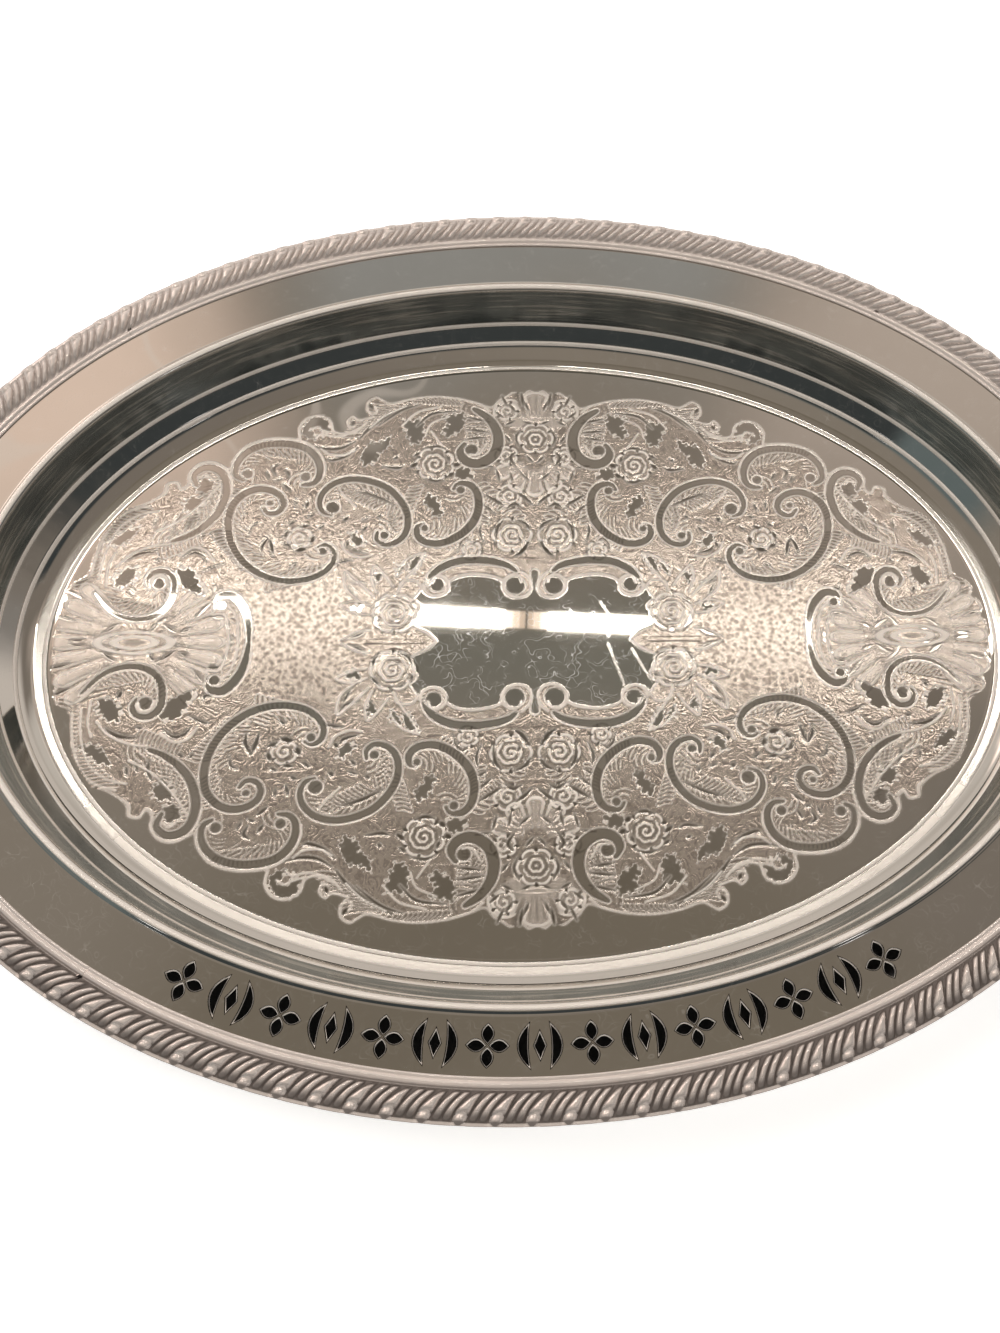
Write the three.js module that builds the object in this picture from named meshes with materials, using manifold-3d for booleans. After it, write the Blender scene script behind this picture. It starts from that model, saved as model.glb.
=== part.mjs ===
// An oval serving tray: a dished sheet with a pierced flange, and a gadroon border in four soldered lengths.
// Millimetres, +Z up. The origin is the centre of the flat base, where the tray rests. +X is the long way.
// The pierced side of the flange faces -Y.
import * as THREE from 'three';
import { mergeVertices } from 'three/addons/utils/BufferGeometryUtils.js';
import Module from 'manifold-3d';

// Sheet and floor
const SHEET = 1.0;
const FLOOR_HALF_LENGTH = 154;
const FLOOR_HALF_WIDTH = 106.6;

// Wall, measured outward from the floor's edge and up from the floor's face
const COVE_WIDTH = 8.1;
const COVE_RISE = 3.8;
const CREASE_OFFSET = 12.7;
const CREASE_RISE = 9.0;
const WALL_TOP_OFFSET = 16.1;
const WALL_RISE = 23.6;

// Raised ridge between the wall and the flange
const RIDGE_WIDTH = 3.2;
const RIDGE_HEIGHT = 0.9;

// Flange, from the ridge to the sheet's edge
const FLANGE_WIDTH = 28.7;

// Gadroon border, soldered on the outer part of the flange
const BORDER_WIDTH = 12.8;
const BORDER_OVERHANG = 0.4;
const SOLDER_GAP = 0.3;
const REED_WIDTH = 3.0;
const REED_HEIGHT = 0.7;
const GROOVE_HEIGHT = 0.5;
const LOBE_HEIGHT = 3.0;
const VALLEY_HEIGHT = 1.3;
const LOBES_PER_LENGTH = 29;
const LOBE_SLANT = 0.95;
const LOBE_FLAT_START = 0.3;
const LOBE_FLAT_END = 0.7;
const BEAD_HEIGHT = 0.45;

// Pierced ornament on the front arc of the flange
const MOTIF_COUNT = 15;
const MOTIF_PITCH = 14.2;
const MOTIF_HEIGHT = 11;
const LEAF_WIDTH = 2.9;
const CRESCENT_HOLLOW = 0.9;
const LOZENGE_WIDTH = 3.0;
const LOZENGE_HEIGHT = 6.8;
const MOTIF_BRIDGE = 1.5;

// Fineness of the faceting
const BODY_STATIONS = 112;
const COVE_STEPS = 3;
const RIDGE_STEPS = 4;
const LEAF_STEPS = 4;
const ARC_SAMPLES = 2880;

const BORDER_NAMES = ['border_right', 'border_back', 'border_left', 'border_front'];
const LENGTHS = BORDER_NAMES.length;
const LOBES = LOBES_PER_LENGTH * LENGTHS;
const FLANGE_START = WALL_TOP_OFFSET + RIDGE_WIDTH;
const EDGE_OFFSET = FLANGE_START + FLANGE_WIDTH;
const FLANGE_TOP = SHEET + WALL_RISE;
const BORDER_OUTER = EDGE_OFFSET + BORDER_OVERHANG;
const BORDER_INNER = BORDER_OUTER - BORDER_WIDTH;
const MOTIF_LINE = (FLANGE_START + BORDER_INNER) / 2;

// The oval: an ellipse for the floor's edge, and lines parallel to it at any offset

function ovalNormal(angle) {
  const x = FLOOR_HALF_WIDTH * Math.cos(angle);
  const y = FLOOR_HALF_LENGTH * Math.sin(angle);
  return new THREE.Vector2(x, y).normalize();
}

function ovalPoint(angle, offset) {
  const x = FLOOR_HALF_LENGTH * Math.cos(angle);
  const y = FLOOR_HALF_WIDTH * Math.sin(angle);
  return new THREE.Vector2(x, y).addScaledVector(ovalNormal(angle), offset);
}

// Gives a function from an arc length on the line at this offset to the oval's angle there
function arcTable(offset) {
  const lengths = [0];
  let last = ovalPoint(0, offset);
  for (let i = 1; i <= ARC_SAMPLES; i++) {
    const point = ovalPoint((2 * Math.PI * i) / ARC_SAMPLES, offset);
    lengths.push(lengths[i - 1] + point.distanceTo(last));
    last = point;
  }
  const total = lengths[ARC_SAMPLES];
  function angleAt(length) {
    const turns = Math.floor(length / total);
    const rest = length - turns * total;
    let low = 0;
    let high = ARC_SAMPLES;
    while (high - low > 1) {
      const middle = (low + high) >> 1;
      if (lengths[middle] <= rest) low = middle;
      else high = middle;
    }
    const share = (rest - lengths[low]) / (lengths[high] - lengths[low]);
    return 2 * Math.PI * (turns + (low + share) / ARC_SAMPLES);
  }
  return { total, angleAt };
}

// Sections

// The sheet's upper face as points (offset, height), from the floor's edge to the rim
function upperProfile() {
  const points = [];
  const turn = 2 * Math.atan2(COVE_RISE, COVE_WIDTH);
  const radius = COVE_WIDTH / Math.sin(turn);
  for (let i = 0; i <= COVE_STEPS; i++) {
    const angle = (turn * i) / COVE_STEPS;
    points.push([radius * Math.sin(angle), SHEET + radius * (1 - Math.cos(angle))]);
  }
  points.push([CREASE_OFFSET, SHEET + CREASE_RISE]);
  for (let i = 0; i <= RIDGE_STEPS; i++) {
    const share = i / RIDGE_STEPS;
    const crown = RIDGE_HEIGHT * Math.sin(Math.PI * share);
    points.push([WALL_TOP_OFFSET + RIDGE_WIDTH * share, FLANGE_TOP + crown]);
  }
  points.push([BORDER_INNER, FLANGE_TOP]);
  points.push([EDGE_OFFSET, FLANGE_TOP]);
  return points.map((point) => new THREE.Vector2(...point));
}

// The same line moved by the sheet's thickness, mitred at each point
function lowerProfile(upper) {
  return upper.map((point, i) => {
    const before = i === 0 ? new THREE.Vector2(1, 0) : point.clone().sub(upper[i - 1]).normalize();
    const after = i === upper.length - 1 ? before : upper[i + 1].clone().sub(point).normalize();
    const normalBefore = new THREE.Vector2(before.y, -before.x);
    const normalAfter = new THREE.Vector2(after.y, -after.x);
    const mitre = normalBefore.clone().add(normalAfter).normalize();
    return point.clone().addScaledVector(mitre, SHEET / mitre.dot(normalBefore));
  });
}

// Meshes

function meshFromTriangles(vertices, triangles) {
  const geometry = new THREE.BufferGeometry();
  geometry.setAttribute('position', new THREE.Float32BufferAttribute(vertices.flat(), 3));
  geometry.setIndex(triangles.flat());
  geometry.computeVertexNormals();
  return geometry;
}

// Joins two neighbouring runs of vertex numbers by a strip
function addStrip(triangles, first, second, closed) {
  const last = closed ? first.length : first.length - 1;
  for (let i = 0; i < last; i++) {
    const next = (i + 1) % first.length;
    triangles.push([first[i], second[i], second[next]]);
    triangles.push([first[i], second[next], first[next]]);
  }
}

function toManifold(wasm, geometry) {
  const bare = geometry.clone();
  bare.deleteAttribute('normal');
  bare.deleteAttribute('uv');
  const merged = mergeVertices(bare, 1e-5);
  const mesh = new wasm.Mesh({
    numProp: 3,
    vertProperties: Float32Array.from(merged.attributes.position.array),
    triVerts: Uint32Array.from(merged.index.array),
  });
  return new wasm.Manifold(mesh);
}

function fromManifold(manifold) {
  const mesh = manifold.getMesh();
  const geometry = new THREE.BufferGeometry();
  geometry.setAttribute('position', new THREE.BufferAttribute(mesh.vertProperties.slice(), 3));
  geometry.setIndex(new THREE.BufferAttribute(mesh.triVerts.slice(), 1));
  geometry.computeVertexNormals();
  return geometry;
}

// The dished sheet, a section swept round the oval and closed by the flat floor
function dishedSheet() {
  const upper = upperProfile();
  const lower = lowerProfile(upper);
  const section = [...upper, ...lower.reverse()];
  const arcs = arcTable(EDGE_OFFSET);
  const vertices = [];
  const rings = section.map((point) => {
    const ring = [];
    for (let i = 0; i < BODY_STATIONS; i++) {
      const place = ovalPoint(arcs.angleAt((arcs.total * i) / BODY_STATIONS), point.x);
      ring.push(vertices.length);
      vertices.push([place.x, place.y, point.y]);
    }
    return ring;
  });
  const triangles = [];
  for (let i = 0; i + 1 < rings.length; i++) addStrip(triangles, rings[i], rings[i + 1], true);
  const top = vertices.push([0, 0, SHEET]) - 1;
  const bottom = vertices.push([0, 0, 0]) - 1;
  const innerTop = rings[0];
  const innerBottom = rings[rings.length - 1];
  for (let i = 0; i < BODY_STATIONS; i++) {
    const next = (i + 1) % BODY_STATIONS;
    triangles.push([top, innerTop[i], innerTop[next]]);
    triangles.push([bottom, innerBottom[next], innerBottom[i]]);
  }
  return meshFromTriangles(vertices, triangles);
}

// Openings of the pierced ornament, drawn flat with y pointing outward on the flange

// A pointed leaf from one point to another
function leaf(from, to) {
  const along = to.clone().sub(from);
  const side = new THREE.Vector2(-along.y, along.x).normalize().multiplyScalar(LEAF_WIDTH);
  const middle = from.clone().add(to).multiplyScalar(0.5);
  const shape = new THREE.Shape();
  shape.moveTo(from.x, from.y);
  shape.quadraticCurveTo(middle.x + side.x, middle.y + side.y, to.x, to.y);
  shape.quadraticCurveTo(middle.x - side.x, middle.y - side.y, from.x, from.y);
  return shape;
}

// A crescent whose horns are at this x, hollow toward the side given by a sign
function crescent(x, side) {
  const shape = new THREE.Shape();
  shape.moveTo(x, -MOTIF_HEIGHT / 2);
  shape.quadraticCurveTo(x - side * 2 * LEAF_WIDTH, 0, x, MOTIF_HEIGHT / 2);
  shape.quadraticCurveTo(x - side * CRESCENT_HOLLOW, 0, x, -MOTIF_HEIGHT / 2);
  return shape;
}

function lozenge() {
  const shape = new THREE.Shape();
  shape.moveTo(-LOZENGE_WIDTH / 2, 0);
  shape.lineTo(0, -LOZENGE_HEIGHT / 2);
  shape.lineTo(LOZENGE_WIDTH / 2, 0);
  shape.lineTo(0, LOZENGE_HEIGHT / 2);
  return shape;
}

// Four leaves round a solid centre
function quatrefoil() {
  const reach = MOTIF_HEIGHT / 2;
  const start = MOTIF_BRIDGE / 2;
  return [0, 1, 2, 3].map((quarter) => {
    const angle = (quarter * Math.PI) / 2;
    const direction = new THREE.Vector2(Math.cos(angle), Math.sin(angle));
    return leaf(direction.clone().multiplyScalar(start), direction.clone().multiplyScalar(reach));
  });
}

// A lozenge between two crescents
function crescentPair() {
  const x = LOZENGE_WIDTH / 2 + MOTIF_BRIDGE;
  return [crescent(-x, 1), lozenge(), crescent(x, -1)];
}

function piercedOpenings() {
  const arcs = arcTable(MOTIF_LINE);
  const frontCentre = arcs.total * 0.75;
  const depth = SHEET * 4;
  const options = { depth, bevelEnabled: false, curveSegments: LEAF_STEPS };
  const openings = [];
  for (let i = 0; i < MOTIF_COUNT; i++) {
    const along = (i - (MOTIF_COUNT - 1) / 2) * MOTIF_PITCH;
    const angle = arcs.angleAt(frontCentre + along);
    const place = ovalPoint(angle, MOTIF_LINE);
    const outward = ovalNormal(angle);
    const turn = Math.atan2(outward.y, outward.x) - Math.PI / 2;
    for (const shape of i % 2 === 0 ? quatrefoil() : crescentPair()) {
      const geometry = new THREE.ExtrudeGeometry(shape, options);
      geometry.rotateZ(turn);
      geometry.translate(place.x, place.y, FLANGE_TOP - SHEET / 2 - depth / 2);
      openings.push(geometry);
    }
  }
  return openings;
}

function trayBody(wasm) {
  let body = toManifold(wasm, dishedSheet());
  for (const opening of piercedOpenings()) body = body.subtract(toManifold(wasm, opening));
  return fromManifold(body);
}

// Border

// One lobe's steps along the border: the share of the pitch and the lobe's height there, 0 to 1
const LOBE_STEPS = [
  [0, 0],
  [0.16, 0.86],
  [0.4, 0.86],
  [0.56, 0],
  [0.78, 0.42],
];

// The border's section at a place where the lobe has this height, 0 in a valley and 1 on a crown
function borderSection(crown) {
  const base = FLANGE_TOP + SOLDER_GAP;
  const lobeWidth = BORDER_WIDTH - REED_WIDTH;
  const lobeStart = BORDER_INNER + REED_WIDTH;
  const height = VALLEY_HEIGHT + (LOBE_HEIGHT - VALLEY_HEIGHT) * crown;
  return [
    [BORDER_INNER, base],
    [BORDER_INNER + REED_WIDTH / 2, base + REED_HEIGHT],
    [lobeStart, base + GROOVE_HEIGHT],
    [lobeStart + lobeWidth * LOBE_FLAT_START, base + height],
    [lobeStart + lobeWidth * LOBE_FLAT_END, base + height],
    [BORDER_OUTER - (1 - crown) * BORDER_OVERHANG, base + height * BEAD_HEIGHT],
    [BORDER_OUTER - BORDER_OVERHANG * 2, base],
  ];
}

// One soldered length, from its first lobe to its last, with a solder gap at its far end
function borderLength(index) {
  const arcs = arcTable(BORDER_OUTER);
  const pitch = arcs.total / LOBES;
  const start = (index - 0.5) * LOBES_PER_LENGTH * pitch;
  const stations = [];
  for (let lobe = 0; lobe < LOBES_PER_LENGTH; lobe++) {
    for (const [share, crown] of LOBE_STEPS) stations.push([start + (lobe + share) * pitch, crown]);
  }
  stations.push([start + LOBES_PER_LENGTH * pitch - SOLDER_GAP, 0]);
  const vertices = [];
  const runs = stations.map(([along, crown]) =>
    borderSection(crown).map(([offset, z]) => {
      const slanted = Math.max(offset, BORDER_INNER + REED_WIDTH);
      const angle = arcs.angleAt(arcs.total + along + LOBE_SLANT * (BORDER_OUTER - slanted));
      const place = ovalPoint(angle, offset);
      vertices.push([place.x, place.y, z]);
      return vertices.length - 1;
    })
  );
  const triangles = [];
  for (let i = 0; i + 1 < runs.length; i++) addStrip(triangles, runs[i + 1], runs[i], true);
  const outline = borderSection(0).map((point) => new THREE.Vector2(...point));
  for (const [a, b, c] of THREE.ShapeUtils.triangulateShape(outline, [])) {
    const first = runs[0];
    const last = runs[runs.length - 1];
    triangles.push([first[a], first[b], first[c]]);
    triangles.push([last[c], last[b], last[a]]);
  }
  return meshFromTriangles(vertices, triangles);
}

// Materials: silver plate, a little yellower and duller on the struck border

function silver(color, roughness) {
  return new THREE.MeshStandardMaterial({ color, roughness, metalness: 1 });
}

function namedMesh(name, geometry, material) {
  const mesh = new THREE.Mesh(geometry, material);
  mesh.name = name;
  return mesh;
}

const wasm = await Module();
wasm.setup();

const tray = new THREE.Group();
tray.add(namedMesh('tray_body', trayBody(wasm), silver(0xc9c1b6, 0.16)));
BORDER_NAMES.forEach((name, index) => {
  tray.add(namedMesh(name, borderLength(index), silver(0xbdb4a8, 0.24)));
});

export default tray;
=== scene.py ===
"""An oval serving tray of silver plate, dressed around its CAD frame.

Lengths are millimetres until a mesh is made. Offsets are measured outward from the floor's edge,
and heights up from the surface that the tray stands on.
"""
import math

import bpy
import numpy as np
from mathutils import Matrix, Vector
from mathutils.geometry import delaunay_2d_cdt

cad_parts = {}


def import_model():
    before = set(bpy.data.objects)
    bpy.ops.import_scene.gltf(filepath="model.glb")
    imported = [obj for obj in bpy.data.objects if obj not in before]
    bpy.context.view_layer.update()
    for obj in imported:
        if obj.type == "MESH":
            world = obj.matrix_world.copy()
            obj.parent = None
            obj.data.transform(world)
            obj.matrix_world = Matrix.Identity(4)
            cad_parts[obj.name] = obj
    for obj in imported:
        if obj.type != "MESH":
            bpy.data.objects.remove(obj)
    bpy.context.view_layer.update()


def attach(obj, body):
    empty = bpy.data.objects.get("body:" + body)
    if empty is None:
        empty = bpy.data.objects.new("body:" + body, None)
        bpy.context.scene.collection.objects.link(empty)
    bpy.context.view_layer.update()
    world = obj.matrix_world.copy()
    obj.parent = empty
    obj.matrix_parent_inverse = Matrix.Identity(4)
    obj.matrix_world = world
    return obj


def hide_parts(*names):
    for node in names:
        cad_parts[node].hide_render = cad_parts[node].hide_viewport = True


MM = 0.001

# Sizes that the CAD part has too
SHEET = 1.0
FLOOR_HALF_LENGTH = 154.0
FLOOR_HALF_WIDTH = 106.6
COVE_WIDTH = 8.1
COVE_RISE = 3.8
CREASE_OFFSET = 12.7
CREASE_RISE = 9.0
WALL_TOP_OFFSET = 16.1
WALL_RISE = 23.6
RIDGE_WIDTH = 3.2
RIDGE_HEIGHT = 0.9
FLANGE_WIDTH = 28.7
BORDER_WIDTH = 12.8
BORDER_OVERHANG = 0.4
LOBES_PER_LENGTH = 29

FLANGE_START = WALL_TOP_OFFSET + RIDGE_WIDTH
EDGE_OFFSET = FLANGE_START + FLANGE_WIDTH
FLANGE_TOP = SHEET + WALL_RISE
BORDER_OUTER = EDGE_OFFSET + BORDER_OVERHANG
BORDER_INNER = BORDER_OUTER - BORDER_WIDTH

# Fineness
FLOOR_CELLS = 640
STATIONS = FLOOR_CELLS * 4
FRONT_STATION = STATIONS * 3 // 4
ARC_SAMPLES = 7200


def smoothstep(low, high, value):
    share = np.clip((value - low) / (high - low), 0.0, 1.0)
    return share * share * (3 - 2 * share)


def arch(place):
    """Height of a half circle at places from -1 to 1, and 0 beyond them."""
    return np.sqrt(np.clip(1 - place**2, 0, 1))


def unit(vectors):
    """The rows, each brought to length 1."""
    return vectors / np.linalg.norm(vectors, axis=1)[:, None]


# The oval: an ellipse for the floor's edge, and lines parallel to it


def oval_point(angle, offset):
    """Points x, y at these angles of the ellipse, moved outward along its normal."""
    nx = FLOOR_HALF_WIDTH * np.cos(angle)
    ny = FLOOR_HALF_LENGTH * np.sin(angle)
    length = np.hypot(nx, ny)
    x = FLOOR_HALF_LENGTH * np.cos(angle) + offset * nx / length
    y = FLOOR_HALF_WIDTH * np.sin(angle) + offset * ny / length
    return x, y


class ArcTable:
    """Turns a length along the line at one offset into the oval's angle."""

    def __init__(self, offset):
        self.angles = np.linspace(0, 2 * math.pi, ARC_SAMPLES + 1)
        x, y = oval_point(self.angles, offset)
        steps = np.hypot(np.diff(x), np.diff(y))
        self.lengths = np.concatenate([[0], np.cumsum(steps)])
        self.total = self.lengths[-1]

    def angle_at(self, length):
        turns = np.floor(length / self.total)
        rest = length - turns * self.total
        return 2 * math.pi * turns + np.interp(rest, self.lengths, self.angles)


def make_object(name, points, faces, material):
    """A smooth-shaded mesh object from points in millimetres."""
    mesh = bpy.data.meshes.new(name)
    points = np.asarray(points, float) * MM
    mesh.from_pydata(points.tolist(), [], faces)
    mesh.materials.append(material)
    mesh.validate()
    mesh.shade_smooth()
    obj = bpy.data.objects.new(name, mesh)
    bpy.context.scene.collection.objects.link(obj)
    return obj


def add_attribute(obj, name, values):
    attribute = obj.data.attributes.new(name, "FLOAT", "POINT")
    attribute.data.foreach_set("value", np.asarray(values, np.float32))


# Ornament of the floor, drawn in the quarter x > 0, y > 0 and mirrored into the other three

# Polished scroll bands: half width, then the points from one end to the other
SCROLLS = [
    (1.3, [(6.0, 25.8), (9, 28), (14, 29.4), (20, 29.9), (26, 29.3), (31, 27), (34, 24),
           (35.3, 20.8)]),
    (1.3, [(27.6, 57.2), (25.8, 59.2), (22.4, 59), (19.8, 56), (19, 51), (20, 46), (22.6, 41.8),
           (26.6, 38.4), (31.5, 36.3), (36.4, 36.8), (39.2, 39.4), (39.1, 42.4), (37.2, 43.4)]),
    (1.1, [(52.4, 40.6), (52.4, 37.7), (50, 35.8), (46.5, 36.4), (43.7, 39), (42.5, 43), (43, 48),
           (45.6, 53), (50, 57.4), (56, 60), (62, 60.7), (67.5, 59), (71, 55.4), (72, 51.4),
           (70.7, 48), (67.8, 46.8)]),
    (1.2, [(71.6, 34.4), (69, 35.4), (66.5, 33.6), (66, 30), (68, 26.4), (72, 23.5), (78, 22.1),
           (84, 22.6), (90, 25), (95.5, 29.6), (99.5, 36), (101.2, 43), (100.5, 49.5), (97.5, 54),
           (93, 56.3), (88.5, 56), (85, 53.8), (83.8, 50.5), (85.4, 47.7), (88.4, 47.2),
           (90.4, 49.4)]),
    (1.7, [(21.5, 89.2), (17.2, 86.2), (13.9, 81.6), (12.9, 76.5), (14, 71.5), (17, 68.4),
           (20.5, 67.3), (24, 68.5), (25.8, 71.5), (24.4, 75)]),
    (1.2, [(78.2, 58.3), (75, 58.7), (73, 61), (72.7, 65), (74.6, 69.5), (79, 73), (86, 74.2),
           (93, 73.2), (98, 70), (100.4, 65.6), (100.2, 61.6), (97.6, 59.7)]),
    (1.3, [(112.6, 57.4), (113.9, 61.4), (111, 64.2), (107, 63.9), (104, 61), (102.8, 56),
           (103.5, 51), (105.6, 46), (109.5, 41.5), (114, 38.3), (118.5, 36.4)]),
    (1.1, [(123.8, 19.4), (124.8, 22.2), (123, 25), (119.5, 25.4), (116.8, 23), (116.1, 19),
           (117, 14), (120, 10.2), (125, 8.3), (131, 9), (136, 12), (140.5, 17.4)]),
    (1.4, [(102.6, 12.2), (101.8, 16), (98.4, 17), (95.4, 14.8), (93, 11), (91.6, 6), (91.1, 0)]),
]

# Polished discs inside the scrolls' curls: x, y, radius
DISCS = [
    (6.4, 20.3, 3.3), (32.1, 20.7, 2.7), (25.2, 56.8, 1.5), (36.8, 42, 1.3), (50, 39.3, 1.5),
    (67.5, 49.7, 2.3), (69.7, 33.1, 1.5), (22, 72.8, 2.2), (77.3, 61.4, 1.7), (96.4, 62.2, 1.8),
    (121, 21, 2.3), (100.7, 13.2, 1.8), (88.2, 51.2, 1.2),
]

# Bright raised lines: half width, then points
LINES = [
    (0.45, [(4.3, 21.8), (5, 23.6), (7.6, 24.3), (10, 22.4), (10.4, 19.4), (8.6, 16.8), (5.4, 15.8),
            (2.4, 16.9), (1, 19.6), (1.9, 23), (4.2, 25.2)]),
    (0.45, [(33.8, 21.4), (33, 23.4), (30.6, 23.9), (28.5, 22), (28.3, 19.4), (30, 17.2),
            (32.8, 16.5), (35.4, 17.8), (36.5, 20.6)]),
    (0.35, [(10.4, 22.4), (14, 23.8), (20, 24.6), (25, 23.8), (28.2, 22)]),
    (0.35, [(16, 88.4), (20, 91.4), (27, 93.3), (35, 94), (43, 93), (50, 90.8), (53, 92),
            (55.5, 93.2), (58, 91.4), (58.2, 88.4), (56.6, 86.4), (55, 87.6), (55.8, 89.6)]),
    (0.35, [(56, 85.4), (60.8, 84), (63, 85.4), (64.6, 83.4), (64, 81), (62, 81.6)]),
    (0.35, [(58.2, 83), (62, 79.2), (68, 77.4), (73, 78), (75, 76.4)]),
    (0.35, [(60, 81), (65, 78.6), (70, 79), (73, 79.8)]),
    (0.35, [(61.5, 72), (65, 70), (70, 70.2), (73, 72.4)]),
    (0.45, [(69.4, 79.6), (70.6, 83.4), (74.4, 85.4), (78.4, 84.2), (80.7, 80.6), (80.2, 76)]),
    (0.4, [(72.6, 77), (73.2, 79.8), (75.4, 80.8), (77.4, 79.4)]),
    (0.4, [(71.2, 62), (71.2, 66), (73.6, 71), (78, 74.6), (84.6, 76.1), (91, 75.8), (97.4, 73.2),
           (101.4, 68), (102, 63)]),
    (0.4, [(101, 56), (102, 60.6), (104.6, 64.6), (108.4, 66.5), (112.6, 65.6), (115.4, 62),
           (115.2, 58.4)]),
    (0.35, [(108.4, 60.4), (110.2, 61.8), (112, 60.4)]),
    (0.35, [(115, 57.4), (117.4, 55.8), (119.2, 58.4), (122, 57.8), (122.4, 54.6), (125, 52.4)]),
    (0.4, [(118.4, 20.4), (119.4, 23), (122, 23.4), (123.2, 21)]),
    (0.35, [(94.4, 0), (94.9, 6), (96.4, 10.4), (98.6, 13)]),
    (0.35, [(97.4, 0), (98, 5.4), (99.6, 9.8), (103.4, 9.8)]),
    (0.3, [(36.4, 32.6), (41.8, 30.4), (45.6, 25.6)]),
    (0.3, [(36.4, 32.6), (38.6, 28), (41.5, 24), (45, 18)]),
    (0.3, [(46.4, 20), (49, 24), (52.6, 27.6), (53.4, 22.6), (51.6, 17.6)]),
    (0.3, [(52.6, 16.4), (57, 21), (62, 25.4), (61.4, 19), (57, 14.6)]),
    (0.3, [(53.6, 13), (58, 14.6), (63, 13.2), (58, 10.4), (53.6, 9.6)]),
    (0.3, [(37, 19.2), (39, 22), (43.6, 21.6), (44.4, 18)]),
    (0.35, [(31.8, 0.4), (34.6, 2.8), (38.6, 5)]),
    (0.3, [(53, 4), (57, 3.4), (62, 0.6)]),
    (0.3, [(54.4, 31.4), (58, 31), (62.4, 33), (64, 36.4)]),
    (0.35, [(104.6, 29.4), (107.4, 33.2), (111.6, 34), (115.4, 31)]),
    (0.35, [(127, 49.6), (133, 47.6), (137.4, 43.6), (140.4, 37), (142, 30), (142.6, 24)]),
    (0.3, [(124, 47.6), (130, 46), (135, 42), (138, 36), (139.6, 29), (140, 22.6)]),
    (0.3, [(119, 35.4), (125, 34.4), (131, 31.4), (135, 27)]),
    (0.3, [(136, 32), (137.6, 27), (137.4, 20)]),
    (0.3, [(17, 75), (19.5, 71), (22.5, 71)]),
    (0.35, [(33, 90), (41, 87.5), (46, 82)]),
    (0.35, [(45, 90), (52, 86), (57, 81)]),
    (0.3, [(30, 86), (36, 83), (38, 78)]),
    (0.3, [(36, 80), (32, 74)]),
    (0.3, [(60, 50), (64, 54), (66, 57)]),
    (0.3, [(105, 58), (110, 51), (117, 44), (124, 40)]),
]

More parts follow.
